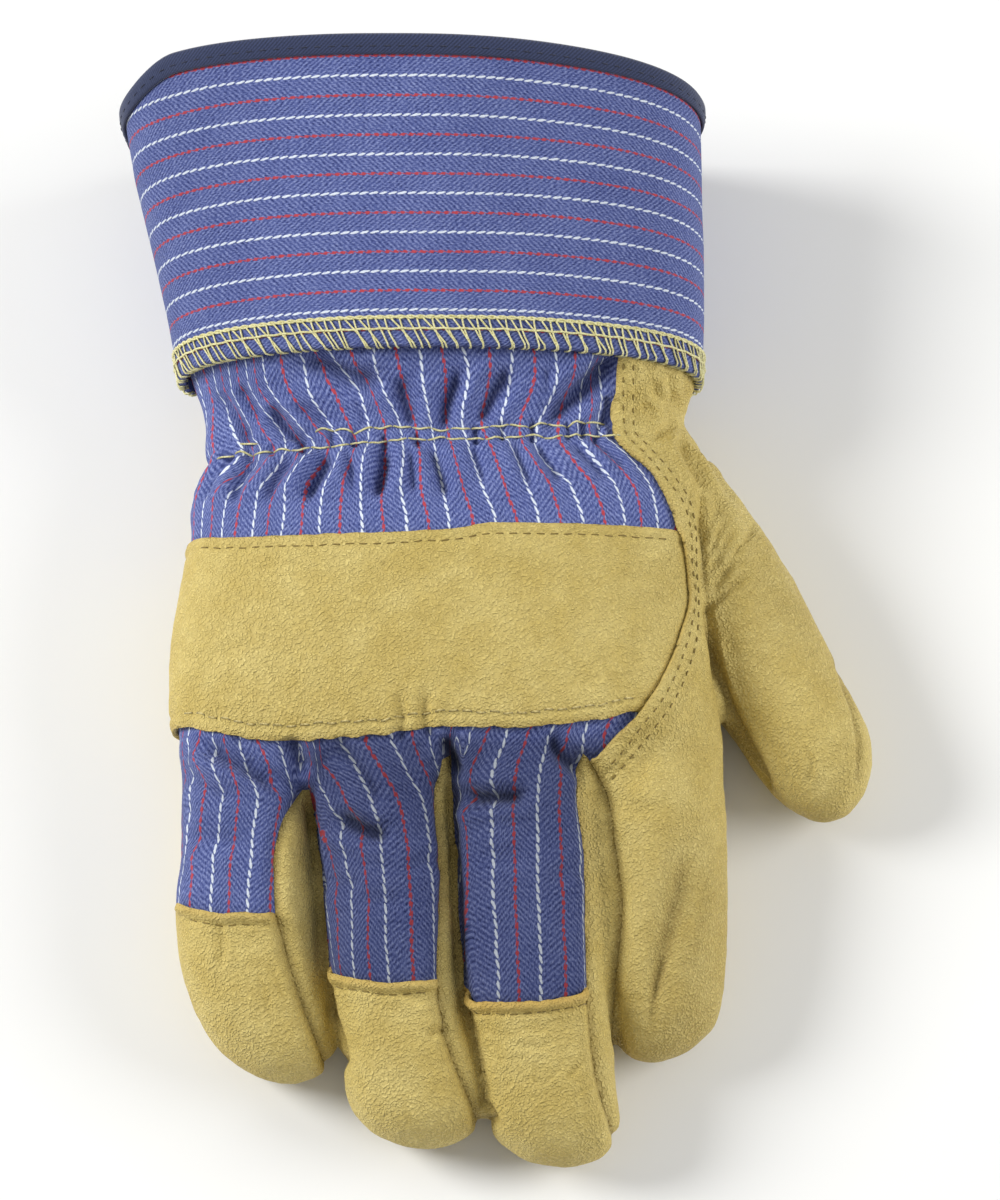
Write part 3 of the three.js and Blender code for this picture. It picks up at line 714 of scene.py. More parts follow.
def subdivided(mesh, wanted):
    """The mesh with faces between wanted vertices cut in four; open edges stay, to match the next piece."""
    work = bmesh.new()
    work.from_mesh(mesh)
    edges = [edge for edge in work.edges
             if not edge.is_boundary and wanted[edge.verts[0].index] and wanted[edge.verts[1].index]]
    bmesh.ops.subdivide_edges(work, edges=edges, cuts=1, use_grid_fill=True)
    work.to_mesh(mesh)
    work.free()
    return mesh


# The finished outer surfaces, which the threads are laid on further down
surfaces = []


def everywhere(points):
    return np.full(len(points), True)


def keep_numbers(mesh, name, values):
    attribute = mesh.attributes.new(name, "FLOAT", "POINT")
    attribute.data.foreach_set("value", np.asarray(values, np.float32))


def worn_surface(points, faces, finer=None, raise_by=None, seam_depth=1.1):
    """A cut piece with its folds, wrinkles and sunk seams. Its mesh is finer at the points that finer picks;
    raise_by lifts or lowers it further. The points before all this come back as well."""
    mesh = mesh_of(points, faces)
    if finer:
        mesh = subdivided(mesh, finer(points))
    flat = points_of(mesh)
    normals = smooth_normals(flat)
    sunk = fold_depths(flat, normals, FOLDS)
    keep_numbers(mesh, "sunk", sunk)
    heights, creased = wrinkle_heights(flat)
    keep_numbers(mesh, "creased", creased)
    lift = heights - sunk
    seam = distance_to(seam_tree, flat)
    lift -= seam_depth * bell(seam, SEAM_WIDTH)
    lift += SEAM_PUFF * bell(seam - SEAM_PUFF_AT, SEAM_PUFF_WIDTH)
    lift -= drawn_seam_depths(flat, normals)
    lift -= THUMB_FOLD_DEPTH * bell(distance_to(thumb_tree, flat), SEAM_WIDTH)
    if raise_by is not None:
        lift += raise_by(flat, normals)
    points = flat + normals * lift[:, None]
    points[:, 2] = np.maximum(points[:, 2], 0)
    move_points(mesh, points)
    surfaces.append(BVHTree.FromPolygons(tuples(points), faces_of(mesh)))
    return mesh, flat


# The leather pieces
# Pigskin: the palm with the index finger and the side that wraps over the back, the thumb, the gussets
# between the fingers and the caps of three fingertips. Turned seams join them; raw edges lie on the cloth.
LEATHER_THICKNESS = 1.3
OVER_CLOTH = 1.5
OVER_STRAP = 1.3
EDGE_REACH = 12
CAP_RAISE = 1.2
CAP_REACH = 6
STRAP_SPAN = (-37, 11)


def srgb(code):
    """An sRGB hex colour as linear RGBA."""
    parts = [int(code[i:i + 2], 16) / 255 for i in (1, 3, 5)]
    return (*[part / 12.92 if part <= 0.04045 else ((part + 0.055) / 1.055) ** 2.4 for part in parts], 1)


def add(tree, kind, settings, links):
    """Adds a node: settings are its own properties, links give its inputs a value or a node's output."""
    node = tree.nodes.new("ShaderNode" + kind)
    for name, value in settings.items():
        setattr(node, name, value)
    for name, value in links.items():
        if isinstance(value, bpy.types.NodeSocket):
            tree.links.new(value, node.inputs[name])
        else:
            node.inputs[name].default_value = value
    return node.outputs


def empty_material(name):
    material = bpy.data.materials.new(name)
    material.use_nodes = True
    material.node_tree.nodes.clear()
    return material, material.node_tree


# Pigskin is a grain leather with a fine pebble, short creases and a few dark pores. It gives a straw-yellow
# face with a slight sheen that goes browner in seams and creases, and a deeper tan along a raw edge. Painted
# shade darkens it deep in the folds, on the index finger and on the thumb. Pebble and fine grain are a little
# coarser than real ones, which would not show.
GRAIN_LIGHT = "#E4CF80"
GRAIN_MID = "#D5BD6A"
GRAIN_AND_PAINTED_SHADE = "#8C763A"
RAW_EDGE = "#C6A352"
PORE = "#78612C"
PEBBLE_MM = 0.62
FINE_GRAIN_MM = 0.48
STREAK_MM = 0.75
CREASE_MM = 1.5
PORE_APART_MM = 3.2
BLOTCH_MM = 11.11
CREASED_PLACE_MM = 26.3
GRAIN_BEND_MM = 3.333
BENT_BY_MM = 0.8
GRAIN_SLANT = math.radians(35)
pigskin, tree = empty_material("pigskin_grain")
place = add(tree, "TexCoord", {}, {})["Object"]
blotch = add(tree, "TexNoise", {}, {
    "Vector": place, "Scale": 1000 / BLOTCH_MM, "Detail": 4.0, "Roughness": 0.6})["Fac"]
drift = add(tree, "TexNoise", {}, {"Vector": place, "Scale": 1000 / GRAIN_BEND_MM, "Detail": 2.0})["Color"]
bent = add(tree, "VectorMath", {"operation": "SCALE"}, {0: drift, "Scale": BENT_BY_MM / 1000})["Vector"]
bent = add(tree, "VectorMath", {"operation": "ADD"}, {0: place, 1: bent})["Vector"]
pebble = add(tree, "TexVoronoi", {"feature": "SMOOTH_F1"}, {
    "Vector": bent, "Scale": 1000 / PEBBLE_MM, "Smoothness": 0.8})["Distance"]
pebble = add(tree, "MapRange", {"interpolation_type": "SMOOTHSTEP"}, {
    "Value": pebble, "From Min": 0.22, "From Max": 0.55, "To Min": 1.0, "To Max": 0.0})[0]
fine = add(tree, "Mapping", {"vector_type": "TEXTURE"}, {
    "Vector": place, "Rotation": (0.0, 0.0, GRAIN_SLANT), "Scale": (1.8, 1.0, 1.3)})[0]
fine = add(tree, "TexNoise", {}, {
    "Vector": fine, "Scale": 1000 / FINE_GRAIN_MM, "Detail": 3.0, "Roughness": 0.7})["Fac"]
slanted = add(tree, "Mapping", {"vector_type": "TEXTURE"}, {
    "Vector": bent, "Rotation": (0.0, 0.0, GRAIN_SLANT), "Scale": (4.0, 1.0, 2.2)})[0]
streak = add(tree, "TexNoise", {}, {
    "Vector": slanted, "Scale": 1000 / STREAK_MM, "Detail": 3.0, "Roughness": 0.6})["Fac"]
streak = add(tree, "MapRange", {}, {"Value": streak, "From Min": 0.35, "From Max": 0.65})[0]
crease = add(tree, "TexNoise", {"noise_type": "RIDGED_MULTIFRACTAL"}, {
    "Vector": slanted, "Scale": 1000 / CREASE_MM, "Detail": 2.0, "Roughness": 0.5, "Lacunarity": 2.2})["Fac"]
creased = add(tree, "TexNoise", {}, {"Vector": place, "Scale": 1000 / CREASED_PLACE_MM, "Detail": 1.0})["Fac"]
creased = add(tree, "MapRange", {"interpolation_type": "SMOOTHSTEP"}, {
    "Value": creased, "From Min": 0.42, "From Max": 0.62})[0]
crease = add(tree, "MapRange", {"interpolation_type": "SMOOTHSTEP"}, {
    "Value": crease, "From Min": 0.66, "From Max": 1.12})[0]
gathered = add(tree, "Attribute", {"attribute_name": "creased"}, {})["Fac"]
creased = add(tree, "Math", {"operation": "MULTIPLY_ADD", "use_clamp": True}, {
    0: creased, 1: 0.7, 2: gathered})[0]
crease = add(tree, "Math", {"operation": "MULTIPLY"}, {0: crease, 1: creased})[0]
pore = add(tree, "TexVoronoi", {}, {"Vector": bent, "Scale": 1000 / PORE_APART_MM})["Distance"]
pore = add(tree, "MapRange", {"interpolation_type": "SMOOTHSTEP"}, {
    "Value": pore, "From Min": 0.03, "From Max": 0.09, "To Min": 0.45, "To Max": 0.0})[0]
seam_mm = add(tree, "Attribute", {"attribute_name": "seam"}, {})["Fac"]
near_seam = add(tree, "MapRange", {"interpolation_type": "SMOOTHSTEP"}, {
    "Value": seam_mm, "From Min": 0.0, "From Max": 2.0, "To Min": 0.4, "To Max": 0.0})[0]
raw = add(tree, "Attribute", {"attribute_name": "raw"}, {})["Fac"]
# Painted shade on the index finger and the thumb's upper part
painted_index_thumb_shade = add(tree, "Attribute", {"attribute_name": "painted_index_thumb_shade"}, {})["Fac"]
# Painted shade deep in the folds, from how far each point sinks
sunk = add(tree, "Attribute", {"attribute_name": "sunk"}, {})["Fac"]
painted_fold_shade = add(tree, "MapRange", {"interpolation_type": "SMOOTHSTEP"}, {
    "Value": sunk, "From Min": 0.2, "From Max": 2.4, "To Min": 0.0, "To Max": 0.3})[0]
tone = add(tree, "MapRange", {}, {"Value": blotch, "From Min": 0.35, "From Max": 0.65})[0]
face = add(tree, "Mix", {"data_type": "RGBA"}, {0: tone, 6: srgb(GRAIN_MID), 7: srgb(GRAIN_LIGHT)})[2]
shade = add(tree, "MapRange", {}, {"Value": pebble, "To Min": 0.28, "To Max": 0.0})[0]
speckle = add(tree, "MapRange", {}, {
    "Value": fine, "From Min": 0.34, "From Max": 0.6, "To Min": 0.24, "To Max": 0.0})[0]
for part, amount in (
        (speckle, 1.0), (streak, -0.12), (crease, 0.5), (painted_fold_shade, 1.0), (painted_index_thumb_shade, 1.0), (near_seam, 1.0)):
    shade = add(tree, "Math", {"operation": "MULTIPLY_ADD"}, {0: part, 1: amount, 2: shade})[0]
for share, colour in ((shade, GRAIN_AND_PAINTED_SHADE), (raw, RAW_EDGE), (pore, PORE)):
    face = add(tree, "Mix", {"data_type": "RGBA"}, {0: share, 6: face, 7: srgb(colour)})[2]
relief = pebble
for part, amount in ((fine, 0.36), (streak, 0.6), (crease, -1.5), (pore, -0.6)):
    relief = add(tree, "Math", {"operation": "MULTIPLY_ADD"}, {0: part, 1: amount, 2: relief})[0]
bump = add(tree, "Bump", {}, {"Height": relief, "Strength": 0.8, "Distance": 0.0004})["Normal"]
rough = add(tree, "MapRange", {}, {"Value": pebble, "To Min": 0.66, "To Max": 0.5})[0]
shader = add(tree, "BsdfPrincipled", {}, {
    "Base Color": face, "Roughness": rough, "Normal": bump, "IOR": 1.45, "Specular IOR Level": 0.5})["BSDF"]
add(tree, "OutputMaterial", {}, {"Surface": shader})

# The cut edge and flesh side of the leather are fibrous and a deeper tan
FLESH_LIGHT = "#CDB668"
FLESH_DARK = "#A68D4A"
FIBRE_MM = 0.5556
flesh_side, tree = empty_material("pigskin_flesh_side")
place = add(tree, "TexCoord", {}, {})["Object"]
fibre = add(tree, "TexNoise", {}, {
    "Vector": place, "Scale": 1000 / FIBRE_MM, "Detail": 3.0, "Roughness": 0.7})["Fac"]
face = add(tree, "Mix", {"data_type": "RGBA"}, {0: fibre, 6: srgb(FLESH_DARK), 7: srgb(FLESH_LIGHT)})[2]
bump = add(tree, "Bump", {}, {"Height": fibre, "Strength": 0.7, "Distance": 0.0003})["Normal"]
shader = add(tree, "BsdfPrincipled", {}, {
    "Base Color": face, "Roughness": 0.95, "Normal": bump, "Specular IOR Level": 0.2,
    "Sheen Weight": 0.3})["BSDF"]
add(tree, "OutputMaterial", {}, {"Surface": shader})

# From the tables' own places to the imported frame: where they have the binding's left and the cuff's hem
BINDING_LEFT = -92.1
CUFF_START = 52.3
shift = np.array([
    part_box("cuff_binding")[0].x * 1000 - BINDING_LEFT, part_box("cuff")[0].y * 1000 - CUFF_START, 0])


def show(name, mesh, materials, nodes):
    """A finished piece in the frame, in metres, riding on the glove's only body."""
    move_points(mesh, (points_of(mesh) + shift) / 1000)
    mesh.materials.clear()
    for material in materials:
        mesh.materials.append(material)
    mesh.polygons.foreach_set("use_smooth", [True] * len(mesh.polygons))
    piece = bpy.data.objects.new(name, mesh)
    bpy.context.collection.objects.link(piece)
    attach(piece, "root")
    if nodes:
        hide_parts(*nodes)


# Two rows of stitching run down the leather edge. x, y in mm
EDGE_ROW = [
    (29.3, 54), (29.3, 43.4), (29.7, 35.9), (33.7, 30.9), (39.8, 23.5), (43.7, 18.3), (45.3, 11.5),
    (45.5, 3.9), (46.3, -2.9), (44.9, -11.9), (41.6, -22.3), (38, -29.6), (33.2, -35.9), (28.8, -41.2),
    (24.2, -46),
]
SECOND_ROW = [
    (31.7, 54), (31.7, 43.6), (31.9, 37), (35.5, 32.3), (41.5, 24.9), (45.2, 19.1), (46.5, 11.5), (46.5, 3.9),
    (47, -3.4), (46.6, -12.2), (43.7, -23), (40, -30.6), (35.1, -37.2), (30.5, -42.6), (26, -47.4),
]
GROOVE_DEPTH = 0.35
GROOVE_WIDTH = 0.7
# Painted shade on the index finger and on the upper part of the thumb
INDEX_PAINTED_SHADE = 0.2
THUMB_PAINTED_SHADE = 0.16
edge_rows = [smooth_line(EDGE_ROW), smooth_line(SECOND_ROW)]


def upper_side(points, normals):
    return eased(normals[:, 2], -0.1, 0.3) * eased(points[:, 2], 13, 21)


def grooves(points, normals, rows):
    """The narrow hollow that a row of stitches pulls into a piece."""
    sunk = np.zeros(len(points))
    for row in rows:
        sunk += GROOVE_DEPTH * bell(along_line(points, row)[0], GROOVE_WIDTH)
    return sunk * upper_side(points, normals)


def palm_raise(points, normals):
    distance = along_line(points, leather_edge)[0]
    y = points[:, 1]
    low, high = STRAP_SPAN
    over_strap = eased(y, low - 2, low + 3) * (1 - eased(y, high - 1, high + 3))
    height = OVER_CLOTH + OVER_STRAP * over_strap
    lift = height * (1 - eased(distance, 1, EDGE_REACH)) * upper_side(points, normals)
    lift *= eased(distance_to(seam_tree, points), -1, 2.5)
    return lift - grooves(points, normals, edge_rows)


# One row of stitches holds each cap below its raised raw edge, between these x
CAP_ROW_SPANS = [(-73.5, -54), (-39.3, -14), (-7.2, 21)]
CAP_ROW = 2.8
CAP_LIP = 1.0
CAP_GROOVE = 0.35
cap_rows = []
for line, (start, end) in zip(cap_lines, CAP_ROW_SPANS):
    row = moved_line(smooth_line(line[::3]), -CAP_ROW)
    cap_rows.append(row[(row[:, 0] > start) & (row[:, 0] < end)])


def cap_distance(points):
    """Distance to the nearest cap's raw edge and which side of it a point is on, finger by finger."""
    nearest, nearest_side = np.full(len(points), 99.0), np.zeros(len(points))
    for line in cap_lines:
        distance, side, _ = along_line(points, line)
        beside = (points[:, 0] < line[:, 0].min() - 0.8) | (points[:, 0] > line[:, 0].max() + 0.8)
        distance = np.where(beside, 99.0, distance)
        nearest_side = np.where(distance < nearest, side, nearest_side)
        nearest = np.minimum(nearest, distance)
    return nearest, nearest_side


def cap_raise(points, normals):
    distance, _ = cap_distance(points)
    fullness = 1 + 0.5 * uneven(points[:, 0], points[:, 1], 2.2, 2.2, 5)
    lip = CAP_LIP * fullness * bell(distance - 1.0, 1.1)
    lift = CAP_RAISE * (1 - eased(distance, 0.5, CAP_REACH)) + lip
    lift -= CAP_GROOVE * bell(distance - CAP_ROW, 0.6)
    lift *= eased(normals[:, 2], 0.05, 0.6) * eased(distance_to(seam_tree, points), 0, 2.5)
    return lift - grooves(points, normals, cap_rows)


def raw_edge(points, lines, width, most):
    """How much of the raw edge's tan each point shows."""
    distance = np.min([along_line(points, line)[0] for line in lines], axis=0)
    return most * bell(distance, width) * (points[:, 2] > 15)


def near_the_sewn_edge(points):
    """The part of the palm piece whose stitches and creases show on the back."""
    at_edge = along_line(points, leather_edge)[0] < 9
    x, y = points[:, 0], points[:, 1]
    return (points[:, 2] > 12) & (at_edge | ((x > 28) & (y > 20)) | ((x > 40) & (y > -32)))


def index_thumb_painted_shade(points):
    """Painted shade on the index finger and on the upper part of the thumb."""
    x, y = points[:, 0], points[:, 1]
    index = eased(-y, 48, 78) * eased(x, 27, 40)
    thumb_middle = bell(np.hypot(x - 66, y + 2), 17)
    return INDEX_PAINTED_SHADE * index + THUMB_PAINTED_SHADE * thumb_middle


def leather_wall(mesh):
    """A surface with the leather's thickness; its cut edge and inner face take the second material."""
    return worked(mesh, "SOLIDIFY", thickness=LEATHER_THICKNESS, offset=-1, use_rim=True, material_offset=1,
                  material_offset_rim=1)


def leather_piece(name, finer, raise_by, raw=None):
    mesh, flat = worn_surface(*cuts[name], finer, raise_by)
    keep_numbers(mesh, "seam", seam_distance(flat, smooth_normals(flat)))
    keep_numbers(mesh, "painted_index_thumb_shade", index_thumb_painted_shade(flat))
    if raw:
        keep_numbers(mesh, "raw", raw_edge(flat, *raw))
    show(name + "_leather", leather_wall(mesh), [pigskin, flesh_side], [name])


leather_piece("palm", near_the_sewn_edge, palm_raise, ([leather_edge], 0.6, 0.2))
leather_piece("thumb", everywhere, None)
for name in GUSSETS:
    leather_piece(name, None, None)
for name, width, most in (("little_tip", 1.5, 0.45), ("ring_tip", 1.5, 0.5), ("middle_tip", 2.0, 0.8)):
    leather_piece(name, everywhere, cap_raise, (cap_lines, width, most))

# The back cloth
# One piece of striped herringbone cotton covers the wrist, the back of the hand and the backs of three
# fingers. Elastic sewn across the wrist gathers it. It runs on under the strap, the caps and the leather
# edge, and is sewn into the side seam.
STRIPE_PITCH = 10.6
# Where the white stripes run: x in mm at each of these y. Stripe -8 is the last on the little finger's side
HAND_LEVELS = (53, 48, 43, 39, 36, 32, 27, 20, 10, -40)
HAND_STRIPES = {
    -8: (-69.8, -68.9, -66.1, -63.8, -62.5, -61.1, -63.9, -71.8, -71.9, -77.9),
    -7: (-65.1, -64.5, -62.2, -60.4, -59.5, -57, -59.3, -65.1, -66.6, -75.1),
    -6: (-60.6, -59.9, -57.4, -54.4, -52.2, -50.9, -52.8, -57.2, -58.5, -68.2),
    -5: (-56.6, -55.8, -52.7, -49, -47, -44, -46.5, -50.6, -51.3, -61.7),
    -4: (-47.6, -46.4, -44.3, -41.9, -40, -37.5, -38.9, -41.6, -42.4, -55.2),
    -3: (-40.4, -37.8, -32.6, -31.6, -31, -31.3, -32.2, -32.8, -32.5, -47),
    -2: (-30.1, -29.3, -27.2, -25, -23.8, -23.1, -22.8, -23.4, -21.8, -38),
    -1: (-19.1, -18.4, -17.7, -17, -16.2, -15.6, -14.9, -13.7, -11.9, -25.9),
    0: (-8.7, -7.4, -8.3, -9, -9, -8, -6.4, -4.2, -1.1, -17.2),
    1: (2.8, 2.5, 1.6, 0.4, 0.2, 1.8, 4.2, 6.5, 9, -7),
    2: (13, 13.3, 12.1, 10, 8.7, 8.1, 11, 16.9, 19.5, 0.9),
    3: (21.9, 21, 19.6, 18.8, 18.4, 19.9, 23.1, 27.7, 29.4, 11.4),
    4: (25.1, 24.2, 23.7, 23.4, 23.5, 27.1, 32.1, 36.2, 37.3, 18.4),
}
FINGER_LEVELS = (-40, -46, -52, -58, -66, -76, -95)
LITTLE_STRIPES = {
    -7: (-74.3, -73.2, -72.5, -73.4, -75.2, -75.6, -75.6),
    -6: (-67.6, -66.4, -65.3, -65.7, -67, -67.5, -67.5),
    -5: (-60.9, -58.7, -56.6, -57.4, -58.2, -58.8, -58.9),
}
RING_STRIPES = {
    -3: (-46.3, -43.1, -40.2, -37.8, -35.7, -34.6, -33.8),
    -2: (-37.3, -33.4, -30.6, -28.7, -27.4, -26.7, -25.9),
    -1: (-25.3, -22, -18.4, -16.9, -16.2, -15.7, -15),
}
MIDDLE_STRIPES = {
    1: (-7.1, -9.6, -10.2, -10.7, -10.3, -9.6, -8.7), 2: (0.8, -1.2, -1.8, -1.8, -1.7, -1.3, -0.3),
    3: (11.1, 9.3, 8.7, 8.6, 8.6, 8.9, 9.4), 4: (18.4, 17.6, 17.8, 18.2, 18.7, 19.1, 20.2),
}
LITTLE_RING_GAP = -44.5
RING_MIDDLE_GAP = -11.5
# The two rows of stitches that hold the elastic
ELASTIC_ROWS = [
    [(-71, 33.5), (-66.3, 34.8), (-57, 33.9), (-47.5, 34.8), (-38, 35.2), (-28.7, 35.5), (-4.7, 35.4),
     (8.1, 36.5), (25.7, 37.7), (29, 38)],
    [(-72, 30.5), (-68.5, 31.8), (-54.6, 30.9), (-40, 31.4), (-28.6, 32.1), (-4.7, 32.6), (10, 33.4),
     (26.6, 34.6), (30, 34.8)],
]
RIPPLE_DEPTH = 1.1
RIPPLE_MM = 3.4
ROW_DEPTH = 0.6
UNDER_STRAP = 0.4
UNDER_CAP = 1.0
# Painted shade on the cloth of the fingers, more past the little finger and near the knuckles
FINGERS_PAINTED_SHADE = 0.14
PAST_LITTLE_PAINTED_SHADE = 0.33
KNUCKLES_PAINTED_SHADE = 0.08
CLOTH_THICKNESS = 0.9


def section_of(y, rows):
    """Middle, half-width, centre and half-height of a limb at each y."""
    table = np.array(rows, float)
    left, right, bottom, top = [np.interp(-y, -table[:, 0], table[:, k]) for k in range(1, 5)]
    return (left + right) / 2, (right - left) / 2, (bottom + top) / 2, (top - bottom) / 2


def arc_to(angle, half, rise):
    """The distance in mm round a limb's section from its crown to an angle, positive towards the right."""
    power = SQUARENESS / 2
    turn = math.pi / 2 + (angle[:, None] - math.pi / 2) * np.linspace(0, 1, 15)
    x = half[:, None] * signed_power(np.cos(turn), 1 / power)
    z = rise[:, None] * np.abs(np.sin(turn)) ** (1 / power)
    length = np.hypot(np.diff(x, axis=1), np.diff(z, axis=1)).sum(1)
    return np.sign(math.pi / 2 - angle) * length


def across_stripes(points, rows, levels, stripes):
    """Distance across the stripes in mm, read off between the listed ones and carried on past the last."""
    power = SQUARENESS / 2
    middle, half, centre, rise = section_of(points[:, 1], rows)
    across = np.clip((points[:, 0] - middle) / half, -1, 1)
    up = np.clip((points[:, 2] - centre) / rise, -1, 1)
    low_side = np.arctan2(signed_power(up, power), signed_power(across, power))
    low_side = np.where(low_side < -math.pi / 2, low_side + 2 * math.pi, low_side)
    on_top = np.arccos(signed_power(across, power))
    below = (up < 0) & (np.abs(across) > 0.5)
    sideways = np.where(below, 1, eased(np.abs(across), 0.86, 0.97))
    place = arc_to(on_top * (1 - sideways) + low_side * sideways, half, rise)
    numbers = np.array(sorted(stripes))
    table = np.array([stripes[number] for number in numbers], float).T
    y = np.clip(points[:, 1], levels[-1], levels[0])
    x = curve_through(-np.array(levels), table, -y)
    marks = []
    for column in x.T:
        spot = np.clip((column - middle) / half, -0.995, 0.995)
        marks.append(arc_to(np.arccos(signed_power(spot, power)), half, rise))
    marks = np.array(marks).T + 0.01 * np.arange(len(numbers))
    i = np.clip((place[:, None] > marks).sum(1) - 1, 0, len(numbers) - 2)
    low = np.take_along_axis(marks, i[:, None], 1)[:, 0]
    high = np.take_along_axis(marks, i[:, None] + 1, 1)[:, 0]
    number = numbers[i] + (place - low) / np.maximum(high - low, 1)
    number = np.where(place < marks[:, 0], numbers[0] + (place - marks[:, 0]) / STRIPE_PITCH, number)
    number = np.where(place > marks[:, -1], numbers[-1] + (place - marks[:, -1]) / STRIPE_PITCH, number)
    # Down the sides the stripes run straight, whatever the gathers do to them above
    on_side = np.where(below, 1, eased(np.abs(across), 0.82, 0.97))
    for turn, mark, last in ((math.pi, marks[:, 0], numbers[0]), (0, marks[:, -1], numbers[-1])):
        widest = last + (arc_to(np.full(len(points), turn), half, rise) - mark) / STRIPE_PITCH
        listed = y == points[:, 1]
        straight = np.polyval(np.polyfit(y[listed], widest[listed], 1), y)
        number = number + on_side * (straight - widest) * ((across > 0) == (turn == 0))
    return number * STRIPE_PITCH


def weave_on_back(points):
    """Distance across and along the stripes in mm, and how much painted shade darkens the cloth among the
    fingers.
    """
    x, y = points[:, 0], points[:, 1]
    # Past the knuckles the hand narrows quickly, so its stripes are carried on from there
    before = np.stack([x, np.maximum(y, -38), points[:, 2]], 1)
    on_hand = across_stripes(before, HAND_ROWS, HAND_LEVELS, HAND_STRIPES)
    on_little = across_stripes(points, LITTLE_ROWS, FINGER_LEVELS, LITTLE_STRIPES)
    on_ring = across_stripes(points, RING_ROWS, FINGER_LEVELS, RING_STRIPES)
    on_middle = across_stripes(points, MIDDLE_ROWS, FINGER_LEVELS, MIDDLE_STRIPES)
    past_little = eased(x, LITTLE_RING_GAP - 3, LITTLE_RING_GAP + 3)
    past_ring = eased(x, RING_MIDDLE_GAP - 3, RING_MIDDLE_GAP + 3)
    past_gap = on_ring * (1 - past_ring) + on_middle * past_ring
    on_finger = on_little * (1 - past_little) + past_little * past_gap
    to_finger = eased(-y, 35, 41) * (1 - eased(x, 16, 20) * (1 - eased(-y, 43, 49)))
    across = on_hand * (1 - to_finger) + on_finger * to_finger
    across += 0.5 * uneven(x, y, 7, 9, 3)
    knuckles = KNUCKLES_PAINTED_SHADE * (1 - eased(-y, 50, 66))
    return across, -y, eased(-y, 33, 42) * (FINGERS_PAINTED_SHADE + PAST_LITTLE_PAINTED_SHADE * past_little + knuckles)


def keep_weave(mesh, across, along, painted_cloth_shade):
    attribute = mesh.attributes.new("weave", "FLOAT_VECTOR", "POINT")
    attribute.data.foreach_set("vector", np.stack([across, along, painted_cloth_shade], 1).astype(np.float32).ravel())


def cloth_tuck(points, normals):
    distance, side = cap_distance(points)
    sunk = UNDER_CAP * eased(distance * (side < 0) * (distance < 8), 0, 2)
    y = points[:, 1]
    sunk += UNDER_STRAP * eased(y, -38, -33) * (1 - eased(y, 6, 10))
    for row in ELASTIC_ROWS:
        sunk += ROW_DEPTH * bell(along_line(points, row)[0], 0.9)
    # Small ripples run out of the elastic along the threads of the cloth
    across = weave_on_back(points)[0]
    bunched = bell(y - 34, np.where(y > 34, 9, 12)) * eased(normals[:, 2], -0.2, 0.3)
    ripple = uneven(across / RIPPLE_MM, y, 1.6, 16, 11)
    return RIPPLE_DEPTH * bunched * ripple - sunk


def shown_and_folded(points):
    """The parts of the back cloth whose folds show: beside the elastic and at the roots of the fingers."""
    y = points[:, 1]
    return (((y > 10) & (y < 56)) | ((y > -65) & (y < -34))) & (points[:, 2] > 21)


# Herringbone cotton: yarn-dyed blue twill whose ribs turn back at every stripe, with thick white and thin red
# threads lying on it. It gives a dry, matt face with fine slanting ribs. Ribs and flecks are a little coarser
# than the real yarns, which would be too fine to show.
CLOTH_LIGHT = "#949FD0"
CLOTH_MID = "#56629C"
CLOTH_SHADE = "#212A60"
WHITE_THREAD = "#E6EEFA"
RED_THREAD = "#C0464A"
RIB_PITCH = 1.35
FLECK_WIDE = 0.36
FLECK_LONG = 0.85
YARN_WANDER = 2
WORN_PATCH = 11.11
WHITE_STITCH = 2.3
RED_STITCH = 2.1
herringbone, tree = empty_material("herringbone_cotton")
weave = add(tree, "Attribute", {"attribute_name": "weave"}, {})["Vector"]
axes = add(tree, "SeparateXYZ", {}, {0: weave})
across, along = axes[0], axes[1]
fleck = add(tree, "Mapping", {"vector_type": "POINT"}, {
    "Vector": weave, "Scale": (1 / FLECK_WIDE, 1 / FLECK_LONG, 0.0)})[0]
fuzz = add(tree, "TexNoise", {}, {"Vector": fleck, "Scale": 1.0, "Detail": 2.0, "Roughness": 0.6})["Fac"]
yarn = add(tree, "TexNoise", {}, {"Vector": weave, "Scale": 1 / YARN_WANDER, "Detail": 2.0})["Fac"]
worn = add(tree, "TexNoise", {}, {"Vector": weave, "Scale": 1 / WORN_PATCH, "Detail": 2.0})["Fac"]
from_white = add(tree, "Math", {"operation": "PINGPONG"}, {0: across, 1: STRIPE_PITCH / 2})[0]
zigzag = add(tree, "Math", {"operation": "ADD"}, {0: from_white, 1: along})[0]
zigzag = add(tree, "Math", {"operation": "MULTIPLY_ADD"}, {0: yarn, 1: 0.9, 2: zigzag})[0]
ribs = add(tree, "Math", {"operation": "MULTIPLY"}, {0: zigzag, 1: 2 * math.pi / RIB_PITCH})[0]
ribs = add(tree, "Math", {"operation": "SINE"}, {0: ribs})[0]
ribs = add(tree, "MapRange", {}, {"Value": ribs, "From Min": -1.0, "From Max": 1.0})[0]
broken = add(tree, "MapRange", {}, {"Value": fuzz, "From Min": 0.3, "From Max": 0.7})[0]
rib_tone = add(tree, "Math", {"operation": "MULTIPLY_ADD"}, {0: ribs, 1: 0.5, 2: broken})[0]
rib_tone = add(tree, "Math", {"operation": "MULTIPLY_ADD"}, {0: worn, 1: 0.35, 2: rib_tone})[0]
darks = add(tree, "MapRange", {}, {"Value": rib_tone, "From Min": 0.15, "From Max": 0.85})[0]
lights = add(tree, "MapRange", {}, {"Value": rib_tone, "From Min": 0.85, "From Max": 1.65})[0]
face = srgb(CLOTH_SHADE)
for share, colour in ((darks, CLOTH_MID), (lights, CLOTH_LIGHT)):
    face = add(tree, "Mix", {"data_type": "RGBA"}, {0: share, 6: face, 7: srgb(colour)})[2]

